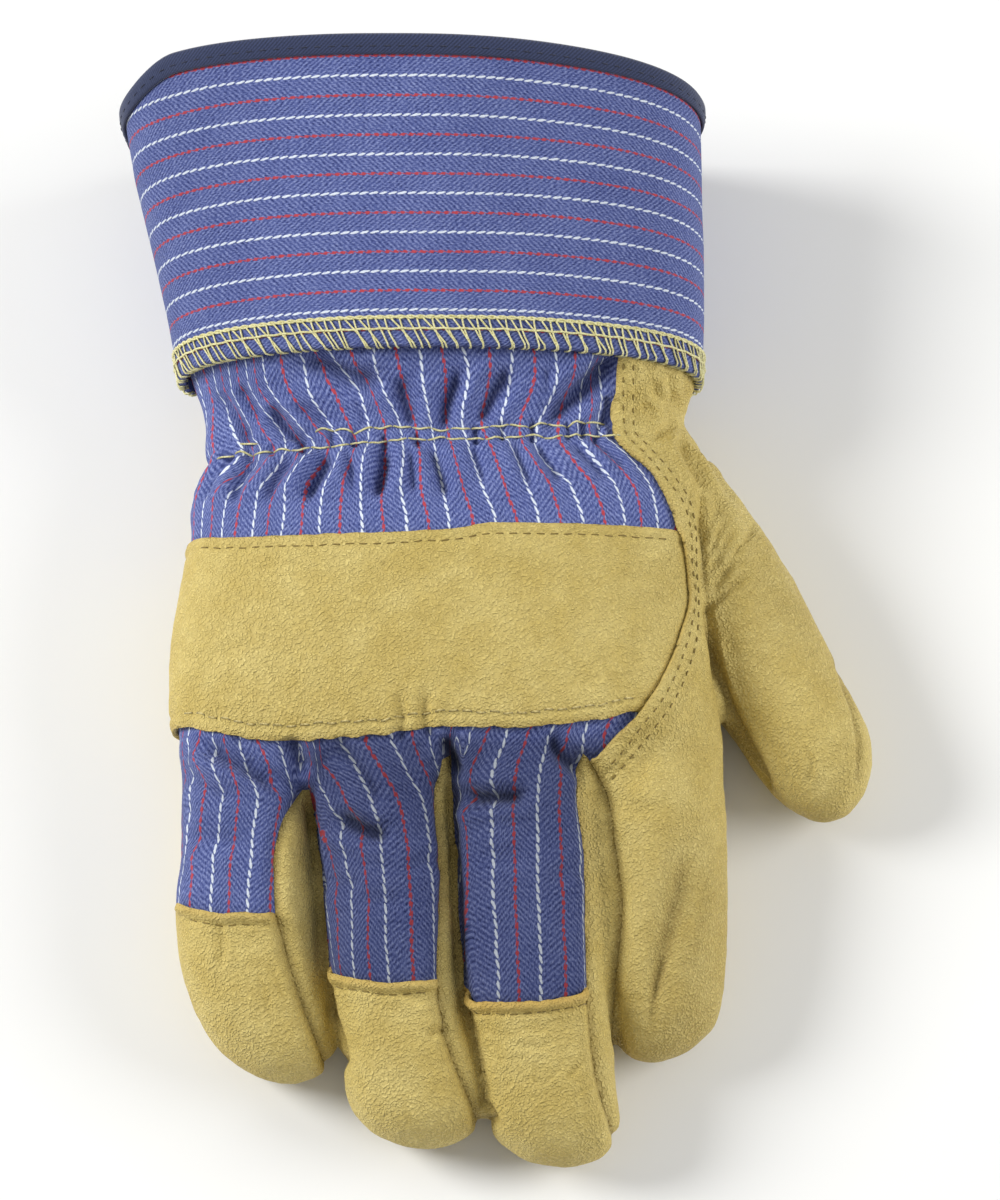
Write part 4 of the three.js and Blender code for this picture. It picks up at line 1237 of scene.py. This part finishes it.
# White and red threads: slanted dashes that run into each other like a rope; the red ones lean the other
# way. For each: its middle between stripes, pitch, slant, width and how it shifts from stripe to stripe
stripe_number = add(tree, "Math", {"operation": "DIVIDE"}, {0: across, 1: STRIPE_PITCH})[0]
stripe_number = add(tree, "Math", {"operation": "ROUND"}, {0: stripe_number})[0]
ragged = add(tree, "Math", {"operation": "MULTIPLY_ADD"}, {0: fuzz, 1: 0.55, 2: -0.27})[0]
threads = []
for centre, pitch, slope, wide, number_step in (
        (0.0, WHITE_STITCH, 0.5, 0.39, 0.37), (STRIPE_PITCH / 2, RED_STITCH, -0.45, 0.41, 0.61)):
    off = add(tree, "Math", {"operation": "ADD"}, {0: across, 1: centre})[0]
    off = add(tree, "Math", {"operation": "WRAP"}, {0: off, 1: STRIPE_PITCH / 2, 2: -STRIPE_PITCH / 2})[0]
    turns = add(tree, "Math", {"operation": "DIVIDE"}, {0: along, 1: pitch})[0]
    turns = add(tree, "Math", {"operation": "MULTIPLY_ADD"}, {0: stripe_number, 1: number_step, 2: turns})[0]
    turns = add(tree, "Math", {"operation": "MULTIPLY_ADD"}, {0: yarn, 1: 0.5, 2: turns})[0]
    turns = add(tree, "Math", {"operation": "FRACT"}, {0: turns})[0]
    turns = add(tree, "Math", {"operation": "SUBTRACT"}, {0: turns, 1: 0.5})[0]
    slanted = add(tree, "Math", {"operation": "MULTIPLY_ADD"}, {0: turns, 1: -slope, 2: off})[0]
    slanted = add(tree, "Math", {"operation": "ABSOLUTE"}, {0: slanted})[0]
    slanted = add(tree, "Math", {"operation": "ADD"}, {0: slanted, 1: ragged})[0]
    turns = add(tree, "Math", {"operation": "ABSOLUTE"}, {0: turns})[0]
    taper = add(tree, "Math", {"operation": "POWER"}, {0: turns, 1: 3.0})[0]
    slanted = add(tree, "Math", {"operation": "MULTIPLY_ADD"}, {0: taper, 1: 2.4, 2: slanted})[0]
    core = add(tree, "MapRange", {"interpolation_type": "SMOOTHSTEP"}, {
        "Value": slanted, "From Min": wide * 0.6, "From Max": wide, "To Min": 1.0, "To Max": 0.0})[0]
    threads.append(core)
white, red = threads
red_share = add(tree, "Math", {"operation": "MULTIPLY"}, {0: red, 1: 0.95})[0]
for share, colour in ((white, WHITE_THREAD), (red_share, RED_THREAD)):
    face = add(tree, "Mix", {"data_type": "RGBA"}, {0: share, 6: face, 7: srgb(colour)})[2]
# Painted shade darkens the cloth deep in its folds, down between the fingers and over parts of the cuff
sunk = add(tree, "Attribute", {"attribute_name": "sunk"}, {})["Fac"]
painted_fold_shade = add(tree, "MapRange", {"interpolation_type": "SMOOTHSTEP"}, {
    "Value": sunk, "From Min": 0.4, "From Max": 3.4, "To Min": 0.0, "To Max": 0.34})[0]
painted_dimming = add(tree, "Math", {"operation": "ADD"}, {0: painted_fold_shade, 1: axes[2]})[0]
painted_dimming = add(tree, "Math", {"operation": "SUBTRACT"}, {0: 1.0, 1: painted_dimming})[0]
face = add(tree, "HueSaturation", {}, {"Color": face, "Value": painted_dimming})["Color"]
height = add(tree, "Math", {"operation": "MULTIPLY"}, {0: ribs, 1: 0.6})[0]
for part, amount in ((broken, 0.9), (white, 1.1), (red, 0.6)):
    height = add(tree, "Math", {"operation": "MULTIPLY_ADD"}, {0: part, 1: amount, 2: height})[0]
bump = add(tree, "Bump", {}, {"Height": height, "Strength": 0.6, "Distance": 0.00022})["Normal"]
shader = add(tree, "BsdfPrincipled", {}, {
    "Base Color": face, "Roughness": 0.92, "Normal": bump, "Specular IOR Level": 0.2, "Sheen Weight": 0.12,
    "Sheen Roughness": 0.4})["BSDF"]
add(tree, "OutputMaterial", {}, {"Surface": shader})

mesh, flat = worn_surface(*cuts["back_cloth"], shown_and_folded, cloth_tuck)
keep_weave(mesh, *weave_on_back(flat))
mesh = worked(mesh, "SOLIDIFY", thickness=CLOTH_THICKNESS, offset=-1, use_rim=True)
show("back_cloth_gathered", mesh, [herringbone], ["back_cloth"])

# The knuckle strap
# A band of pigskin lies across the knuckles over the cloth. Its ends are caught in the side seam and under
# the leather edge, and one row of stitches holds it along each raw long edge. It is bare.
STRAP_TOP = [(-90, 13), (-75.4, 12.4), (-60.1, 9.4), (-44.9, 8.5), (-28.1, 8.3), (-11.7, 9), (-1.9, 10.5),
             (19.7, 10.9), (41.4, 11.8), (48, 12)]
STRAP_BOTTOM = [(-90, -30), (-78.7, -31.7), (-67.3, -35.5), (-50.3, -38.7), (-27.9, -38), (-11.6, -36.3),
                (3.5, -36.6), (14.2, -35.6), (31.8, -32.4), (40, -31)]
STRAP_SEAM = 14
STRAP_RAISE = 1.7
STRAP_TUCKED = 1.1
STRAP_ROW = 2.7
EDGE_ROLL = 0.5
CLEAR_OF_SEAMS = 3
strap_top = smooth_line(STRAP_TOP, 1.0)
strap_bottom = smooth_line(STRAP_BOTTOM, 1.0)
for line, size in ((strap_top, 0.24), (strap_bottom, 0.6)):
    line[:, 1] += size * uneven(*line.T, 3.2, 9, 5)
strap_rows = [moved_line(strap_top, -STRAP_ROW), moved_line(strap_bottom, STRAP_ROW)]
tucked = np.array(tucked_edge)
tucked = tucked[(tucked[:, 1] < 12) & (tucked[:, 1] > -32)]
outline = np.concatenate([
    strap_top[strap_top[:, 0] < tucked[0, 0]], tucked,
    strap_bottom[strap_bottom[:, 0] < tucked[-1, 0]][::-1]])


def strap_raise(points, normals):
    distance, side, _ = along_line(points, leather_edge)
    under_leather = eased(distance * side, -1.5, 1)
    edge = np.minimum(along_line(points, strap_top)[0], along_line(points, strap_bottom)[0])
    rows = np.min([along_line(points, row)[0] for row in strap_rows], axis=0)
    lift = STRAP_RAISE + (STRAP_TUCKED - STRAP_RAISE) * under_leather
    lift -= EDGE_ROLL * bell(edge, 0.9)
    return lift - GROOVE_DEPTH * bell(rows, GROOVE_WIDTH)


points, faces = surface_of(combined(form, upright_block(outline, STRAP_SEAM), "INTERSECT"))
mesh, flat = worn_surface(points, faces, everywhere, strap_raise, seam_depth=0.6)
keep_numbers(mesh, "seam", np.full(len(flat), CLEAR_OF_SEAMS))
keep_numbers(mesh, "raw", raw_edge(flat, [strap_top, strap_bottom], 0.6, 0.2))
show("knuckle_strap_leather", leather_wall(mesh), [pigskin, flesh_side], ["knuckle_strap"])

# The safety cuff
# Two layers of the same striped cotton, stiffened and sewn into a flaring ring. The stripes run round it. It
# ends in a navy binding at the rim and an overlocked hem over the wrist.
CUFF_ROWS = [  # y, left, right, bottom, top, lean of the crown
    (121.5, -90.8, 49.2, 0, 74.5, 7), (105, -88.4, 49.8, 0.3, 70.5, 5), (87, -84.5, 50, 0.8, 67, 3),
    (69, -80.7, 49.4, 1.3, 63, 1), (52.3, -77.7, 48.4, 1.8, 60, 0),
]
CUFF_WALL = 1.8
CUFF_FLOOR = 1.3
RIM_BOW = 2.6
RIM = CUFF_ROWS[0][0]
HEM = CUFF_ROWS[-1][0]
CUFF_POINTS = 420
CUFF_PITCH = 9.0
FIRST_STRIPE = 8.35
FLARE_LENGTHENS = 1.02
CUFF_WAVE = 0.7
# The rim dips at the little finger's side, and the hem is higher on the palm side
SIDE_DIP = 5.5
PALM_HEM = 3.0
# Painted shade over the whole cuff, more at its left end and from its middle to its right
CUFF_PAINTED_SHADE = 0.04
CUFF_LEFT_PAINTED_SHADE = 0.16
CUFF_RIGHT_PAINTED_SHADE = 0.08


def cuff_ring(y, grow, count=CUFF_POINTS):
    """Evenly spaced points round the cuff, grown outwards, with the distance round it of each in mm and how
    far it lies below the stripes' own level."""
    table = np.array(CUFF_ROWS)
    spread = np.clip((y - HEM) / (RIM - HEM), 0, 2)
    left, right, bottom, top, lean = [np.interp(-y, -table[:, 0], table[:, k]) for k in range(1, 6)]
    left, right = left - grow, right + grow
    top, bottom = top + grow, bottom - grow
    turn = np.linspace(0, 2 * math.pi, 1441)
    across, up = np.cos(turn), np.sin(turn)
    over = np.maximum(up, 0)
    x = (left + right) / 2 + (right - left) / 2 * signed_power(across, 2 / SQUARENESS)
    z = (bottom + top) / 2 + (top - bottom) / 2 * signed_power(up, 2 / SQUARENESS)
    dip = SIDE_DIP * np.clip(spread, 0, 1) ** 2 * eased(-across, 0.7, 1.0)
    raised = PALM_HEM * (1 - np.clip(spread, 0, 1)) ** 2 * eased(-up, 0, 0.8)
    along = y + RIM_BOW * spread * over + raised - dip
    line = np.stack([x - lean * over, along, np.maximum(z, CUFF_FLOOR - grow)], 1)
    length = running_length(line)
    at = np.linspace(0, length[-1], count, endpoint=False)
    ring = np.stack([np.interp(at, length, line[:, k]) for k in range(3)], 1)
    return ring, at, np.interp(at, length, dip - raised)


def cuff_wave(points):
    """Slow waves of the stiff cloth, the same on both of its faces."""
    middle = np.array([-18, 0, 36])
    out = (points - middle) * (1, 0, 1)
    out /= np.linalg.norm(out, axis=1)[:, None]
    wave = np.array([noise.noise(Vector((x / 32, y / 38, z / 32))) for x, y, z in points])
    calm = eased(points[:, 2], 3, 14)
    return points + out * (CUFF_WAVE * wave * calm)[:, None]


cuff_outer = [(y, 0.0) for y in np.linspace(RIM, HEM + 0.5, 62)]
cuff_inner = [(y, -CUFF_WALL) for y in np.linspace(HEM + 0.5, RIM, 16)]
cuff_hem = [(HEM + 0.12, -0.3), (HEM, -CUFF_WALL / 2), (HEM + 0.12, 0.3 - CUFF_WALL)]
cuff_section = [*cuff_outer, *cuff_hem, *cuff_inner]
rings = [cuff_ring(y, grow) for y, grow in cuff_section]
points = np.concatenate([ring for ring, _, _ in rings])
faces = tube_faces(len(rings), CUFF_POINTS, closed_rings=True)
mesh = mesh_of(cuff_wave(points), faces)
down = np.repeat([(RIM - y) * FLARE_LENGTHENS for y, _ in cuff_section], CUFF_POINTS)
down += np.concatenate([dip for _, _, dip in rings])
# Painted shade on the cuff
painted_cloth_shade = CUFF_PAINTED_SHADE + CUFF_LEFT_PAINTED_SHADE * eased(-points[:, 0], 45, 85) + CUFF_RIGHT_PAINTED_SHADE * eased(points[:, 0], -25, 0)
across = (down - FIRST_STRIPE) * STRIPE_PITCH / CUFF_PITCH
keep_weave(mesh, across, np.concatenate([at for _, at, _ in rings]), painted_cloth_shade)
show("safety_cuff", mesh, [herringbone], ["cuff"])

# The binding
# A navy cotton tape is folded over the rim of the cuff, 4 mm down outside and 5 mm inside, and sewn through
# with one row of navy thread. It gives a dull, finely slanting face.
TAPE_COLOUR = "#394365"
TAPE_SHADE = "#232A44"
TAPE_RIB_MM = 1.0
TAPE_FUZZ_MM = 0.3846
BINDING_SECTION = [  # mm past the rim, growth from the cuff's outer face
    (-3.6, 0.3), (-3.7, 0.8), (-3.4, 1.05), (-2.4, 1.2), (-1.0, 1.3), (0.3, 1.25), (1.0, 0.8), (1.3, 0.1),
    (1.3, -1.9), (1.0, -2.6), (0.3, -3.05), (-1.2, -3.1), (-3.2, -3.0), (-4.7, -2.85), (-5.1, -2.6),
    (-5.0, -2.1), (0.2, -2.1), (0.2, 0.3),
]
tape, tree = empty_material("twill_tape")
weave = add(tree, "Attribute", {"attribute_name": "weave"}, {})["Vector"]
fuzz = add(tree, "TexNoise", {}, {
    "Vector": weave, "Scale": 1 / TAPE_FUZZ_MM, "Detail": 3.0, "Roughness": 0.7})["Fac"]
axes = add(tree, "SeparateXYZ", {}, {0: weave})
slant = add(tree, "Math", {"operation": "ADD"}, {0: axes[0], 1: axes[1]})[0]
slant = add(tree, "Math", {"operation": "MULTIPLY"}, {0: slant, 1: 2 * math.pi / TAPE_RIB_MM})[0]
ribs = add(tree, "Math", {"operation": "SINE"}, {0: slant})[0]
tone = add(tree, "Math", {"operation": "MULTIPLY_ADD"}, {0: ribs, 1: 0.18, 2: fuzz})[0]
tone = add(tree, "MapRange", {}, {"Value": tone, "From Min": 0.3, "From Max": 0.75})[0]
face = add(tree, "Mix", {"data_type": "RGBA"}, {0: tone, 6: srgb(TAPE_SHADE), 7: srgb(TAPE_COLOUR)})[2]
bump = add(tree, "Bump", {}, {"Height": tone, "Strength": 0.4, "Distance": 0.00015})["Normal"]
shader = add(tree, "BsdfPrincipled", {}, {
    "Base Color": face, "Roughness": 0.85, "Normal": bump, "Specular IOR Level": 0.3,
    "Sheen Weight": 0.25})["BSDF"]
add(tree, "OutputMaterial", {}, {"Surface": shader})

rings = [cuff_ring(RIM + past, grow) for past, grow in BINDING_SECTION]
points = cuff_wave(np.concatenate([ring for ring, _, _ in rings]))
mesh = mesh_of(points, tube_faces(len(rings), CUFF_POINTS, closed_rings=True))
run = running_length(BINDING_SECTION)
keep_weave(
    mesh, np.repeat(run, CUFF_POINTS), np.concatenate([at for _, at, _ in rings]), np.zeros(len(points)))
show("rim_binding", mesh, [tape], ["cuff_binding"])

# The threads
# Yellow cotton overlocks the hem of the cuff and sews the elastic to the wrist in two rows of long stitches.
# Straw and olive thread sews the strap, the leather edge and the caps in short stitches sunk in the leather.
THREAD_RADIUS = 0.22
CHAIN_THREAD_RADIUS = 0.27
BINDING_THREAD_RADIUS = 0.17
BINDING_STITCH = 2.8
BINDING_ROW = 2.1
THREAD_SIDES = 6
CHAIN_UP = 6.3
NEEDLE_UP = 3.6
CHAIN_PITCH = 4.6
RUNG_PAIRS = 88
ELASTIC_STITCH = 4.6
LEATHER_STITCH = 3.2
EDGE_STITCH = 3.0
YELLOW_THREAD = "#E9E4B0"
YELLOW_SHADE = "#B9B06A"
STRAW_THREAD = "#DECD8C"
STRAW_SHADE = "#A08C4C"
DARK_THREAD = "#94803F"
DARK_SHADE = "#6E5A28"
NAVY_SHADE = "#151A2C"
# Painted shade of the needle holes at the stitches' ends
NEEDLE_HOLE_SHADE = "#4E3F1A"
PLY_MM = 0.4545
STITCH_PLACES = (0, 0.08, 0.3, 0.5, 0.7, 0.92, 1)


def thread(points, facing, radius=THREAD_RADIUS):
    """A round thread through points; facing points away from what it lies on."""
    points = np.asarray(points, float)
    run = np.gradient(points, axis=0)
    run /= np.linalg.norm(run, axis=1)[:, None]
    side = np.cross(run, facing)
    side /= np.linalg.norm(side, axis=1)[:, None]
    up = np.cross(side, run)
    turn = np.linspace(0, 2 * math.pi, THREAD_SIDES, endpoint=False)
    across, above = np.cos(turn)[None, :, None], np.sin(turn)[None, :, None]
    rings = points[:, None] + radius * (across * side[:, None] + above * up[:, None])
    last = (len(points) - 1) * THREAD_SIDES
    faces = tube_faces(len(points), THREAD_SIDES)
    faces += [tuple(range(THREAD_SIDES))[::-1], tuple(range(last, last + THREAD_SIDES))]
    return rings.reshape(-1, 3), faces


def dropped(x, y):
    """The highest place of the finished pieces under x, y."""
    best = None
    for tree in surfaces:
        hit = tree.ray_cast(Vector((x, y, 120)), Vector((0, 0, -1)))[0]
        if hit is not None and (best is None or hit.z > best.z):
            best = hit
    return best


def sewn_row(line, pitch, share, radius, sunk, wobble=0.0, steepest=2.6):
    """Stitches along a line seen from above, laid on whatever is topmost there."""
    line = smooth_line(line, 0.5)
    length = running_length(line)
    parts = []
    for start in np.arange(0, length[-1] - share * pitch, pitch):
        at = start + np.array(STITCH_PLACES) * share * pitch
        x, y = np.interp(at, length, line[:, 0]), np.interp(at, length, line[:, 1])
        y = y + wobble * uneven(x, np.full(len(x), y[0]), 4, 4, 9)
        places = [dropped(px, py) for px, py in zip(x, y)]
        if any(place is None for place in places):
            continue
        points = np.array(places)
        if points[:, 2].min() < 17 or np.ptp(points[:, 2]) > steepest:
            continue
        chord = points[0, 2] + (points[-1, 2] - points[0, 2]) * np.array(STITCH_PLACES)
        points[:, 2] = np.maximum(points[:, 2], chord - 0.3)
        points[:, 2] += radius * 0.8 - sunk - np.array([2.2, 0.7, 0, 0, 0, 0.7, 2.2]) * radius
        parts.append(thread(points, (0, 0, 1), radius))
    return parts


def thread_material(name, light, shade):
    """Twisted cotton thread: dull, with light and shade from the twist, and painted shade where it enters a
    needle hole.
    """
    material, tree = empty_material(name)
    place = add(tree, "TexCoord", {}, {})["Object"]
    ply = add(tree, "TexNoise", {}, {"Vector": place, "Scale": 1000 / PLY_MM, "Detail": 2.0})["Fac"]
    ply = add(tree, "MapRange", {}, {"Value": ply, "From Min": 0.3, "From Max": 0.6})[0]
    face = add(tree, "Mix", {"data_type": "RGBA"}, {0: ply, 6: srgb(shade), 7: srgb(light)})[2]
    hole = add(tree, "Attribute", {"attribute_name": "hole"}, {})["Fac"]
    face = add(tree, "Mix", {"data_type": "RGBA"}, {0: hole, 6: face, 7: srgb(NEEDLE_HOLE_SHADE)})[2]
    bump = add(tree, "Bump", {}, {"Height": ply, "Strength": 0.5, "Distance": 0.0001})["Normal"]
    shader = add(tree, "BsdfPrincipled", {}, {
        "Base Color": face, "Roughness": 0.75, "Normal": bump, "Specular IOR Level": 0.3,
        "Sheen Weight": 0.2})["BSDF"]
    add(tree, "OutputMaterial", {}, {"Surface": shader})
    return material


yellow_cotton = thread_material("yellow_cotton_thread", YELLOW_THREAD, YELLOW_SHADE)
straw_cotton = thread_material("straw_cotton_thread", STRAW_THREAD, STRAW_SHADE)
dark_cotton = thread_material("olive_cotton_thread", DARK_THREAD, DARK_SHADE)
navy_cotton = thread_material("navy_cotton_thread", TAPE_SHADE, NAVY_SHADE)


def on_cuff(share, y, grow):
    """Places on the cuff at shares of the way round it."""
    ring = cuff_ring(y, grow, 1440)[0]
    ring = np.concatenate([ring, ring[:1]])
    around = np.linspace(0, 1, 1441)
    return np.stack([np.interp(share % 1, around, ring[:, k]) for k in range(3)], 1)


def outward(points):
    away = (points - (-15, 0, 33)) * (1, 0, 1)
    return away / np.linalg.norm(away, axis=1)[:, None]


def sewn_mesh(stitches, darkest):
    """One mesh of a row's stitches, with painted shade of the needle holes at both ends."""
    mesh = mesh_of(*joined(stitches))
    ends = darkest * np.array([1, 0.8, 0.15, 0, 0.15, 0.8, 1])
    keep_numbers(mesh, "hole", np.tile(np.repeat(ends, THREAD_SIDES), len(stitches)))
    return mesh


# The overlock's rungs come in pairs, one slanting and one upright, which meet at the edge and turn under it.
# Steps are mm to the right along the hem, mm above it, and mm off the cloth
RUNGS = [
    [(0, CHAIN_UP, 0.3), (0.9, 5.0, 0.35), (1.9, NEEDLE_UP, 0.42), (2.9, 2.0, 0.35), (3.9, 0.4, 0.4),
     (4.1, -0.3, 0.05), (4.2, -0.3, -0.9), (4.2, 0.1, -2.1)],
    [(2.2, CHAIN_UP, 0.3), (2.4, 5.0, 0.35), (2.7, NEEDLE_UP, 0.42), (3.3, 2.0, 0.38), (4.1, 0.4, 0.42),
     (4.3, -0.3, 0.05), (4.4, -0.3, -0.9), (4.4, 0.1, -2.1)],
]
luck = np.random.default_rng(7)
hem_length = float(cuff_ring(HEM, 0)[1][-1])
hem_threads = []
start = np.arange(RUNG_PAIRS) / RUNG_PAIRS + luck.uniform(-0.14, 0.14, RUNG_PAIRS) / RUNG_PAIRS
lean = luck.uniform(0.6, 1.3, (2, RUNG_PAIRS))
for steps, leaning in zip(RUNGS, lean):
    first = steps[0][0]
    levels = [on_cuff(start - (first + (right - first) * leaning) / hem_length, HEM + up, grow)
              for right, up, grow in steps]
    for i in range(RUNG_PAIRS):
        points = cuff_wave(np.array([level[i] for level in levels]))
        hem_threads.append(thread(points, outward(points) + (0, -0.3, 0)))
around = np.linspace(0, 1, 900, endpoint=False)
for up, phase, sway, grow in (
        (CHAIN_UP, 0, 0.26, 0.4), (CHAIN_UP, math.pi, 0.26, 0.4), (NEEDLE_UP, 0, 0.08, 0.55)):
    twist = 2 * math.pi * around * round(hem_length / CHAIN_PITCH) + phase
    low = on_cuff(around, HEM + up - sway, grow)
    high = on_cuff(around, HEM + up + sway, grow)
    points = low + (high - low) * (0.5 + 0.5 * np.sin(twist))[:, None]
    points += outward(points) * (0.1 * np.cos(twist))[:, None]
    points = cuff_wave(points)
    hem_threads.append(thread(np.concatenate([points, points[:2]]), (0, 1, 0), CHAIN_THREAD_RADIUS))
mesh = mesh_of(*joined(hem_threads))
show("hem_overlock_thread", mesh, [yellow_cotton], [])

rows = []
for line in ELASTIC_ROWS:
    rows += sewn_row(line, ELASTIC_STITCH, share=0.94, radius=0.25, sunk=-0.1, wobble=1.5, steepest=3.0)
show("elastic_thread", sewn_mesh(rows, 0.5), [yellow_cotton], [])

# The rows of the strap stop where it goes under the leather edge
at_edge = np.array(leather_edge)[::-1]
strap_rows = [row[row[:, 0] < np.interp(row[:, 1], at_edge[:, 1], at_edge[:, 0]) - 0.6] for row in strap_rows]
rows = sewn_row(strap_rows[1], LEATHER_STITCH, share=0.66, radius=0.24, sunk=0.02, wobble=0.3)
show("straw_thread", sewn_mesh(rows, 0.85), [straw_cotton], [])
rows = []
for line in [strap_rows[0], *cap_rows]:
    rows += sewn_row(line, LEATHER_STITCH, share=0.6, radius=0.19, sunk=0.1, wobble=0.3)
for line in edge_rows:
    rows += sewn_row(line, EDGE_STITCH, share=0.36, radius=0.23, sunk=0.04)
show("olive_thread", sewn_mesh(rows, 0.65), [dark_cotton], [])

binding_rows = []
share = np.arange(0, 1, BINDING_STITCH / hem_length)
steps = [on_cuff(share + lean, RIM - BINDING_ROW, grow) for lean, grow in (
    (0, 0.9), (0.0006, 1.2), (0.0024, 1.26), (0.0042, 1.2), (0.0048, 0.9))]
for i in range(len(share)):
    points = cuff_wave(np.array([step[i] for step in steps]))
    binding_rows.append(thread(points, (0, 1, 0), BINDING_THREAD_RADIUS))
show("binding_thread", mesh_of(*joined(binding_rows)), [navy_cotton], [])

# Floor, light and camera
# A plain pale floor, three soft lamps under a white sky, and a camera that looks down on the back of the
# glove from above the fingers, as in the picture.
CAMERA_DISTANCE = 1.0
CAMERA_HEIGHT_ANGLE = math.radians(74)
LOOKED_AT_HEIGHT = 0.025
FLOOR_REACH = 3
floor_points = [(x * FLOOR_REACH, y * FLOOR_REACH, 0) for x, y in ((-1, -1), (1, -1), (1, 1), (-1, 1))]
floor_mesh = mesh_of(floor_points, [(0, 1, 2, 3)])
floor = bpy.data.objects.new("floor", floor_mesh)
bpy.context.collection.objects.link(floor)
pale_floor, tree = empty_material("pale_floor")
shader = add(tree, "BsdfPrincipled", {}, {"Base Color": srgb("#F8F8F6"), "Roughness": 0.9,
                                          "Specular IOR Level": 0.1})["BSDF"]
add(tree, "OutputMaterial", {}, {"Surface": shader})
floor_mesh.materials.append(pale_floor)

world = bpy.data.worlds.new("studio")
world.use_nodes = True
bpy.context.scene.world = world
world.node_tree.nodes["Background"].inputs[0].default_value = srgb("#FFFFFF")
world.node_tree.nodes["Background"].inputs[1].default_value = 0.32
target = Vector((shift[0] / 1000, shift[1] / 1000, LOOKED_AT_HEIGHT))
# Each lamp's place and width in m, and its watts
for name, place, size, watts in (
        ("key", (-1.13, 0.25, 0.84), 0.65, 18.2), ("fill", (0.4, -0.2, 1.6), 1.2, 1.0),
        ("side", (1.15, 0.05, 0.65), 0.9, 11.0)):
    light = bpy.data.lights.new(name, "AREA")
    light.shape = "DISK"
    light.size = size
    light.energy = watts
    lamp = bpy.data.objects.new(name, light)
    lamp.location = place
    lamp.rotation_euler = (target - lamp.location).to_track_quat("-Z", "Y").to_euler()
    bpy.context.collection.objects.link(lamp)

camera = bpy.data.cameras.new("camera")
camera.sensor_fit = "VERTICAL"
camera.sensor_height = 36
camera.lens = 125
viewer = bpy.data.objects.new("camera", camera)
towards_viewer = Vector((0, -math.cos(CAMERA_HEIGHT_ANGLE), math.sin(CAMERA_HEIGHT_ANGLE)))
viewer.location = target + CAMERA_DISTANCE * towards_viewer
viewer.rotation_euler = (target - viewer.location).to_track_quat("-Z", "Y").to_euler()
bpy.context.collection.objects.link(viewer)
bpy.context.scene.camera = viewer
bpy.context.scene.view_settings.view_transform = "Standard"
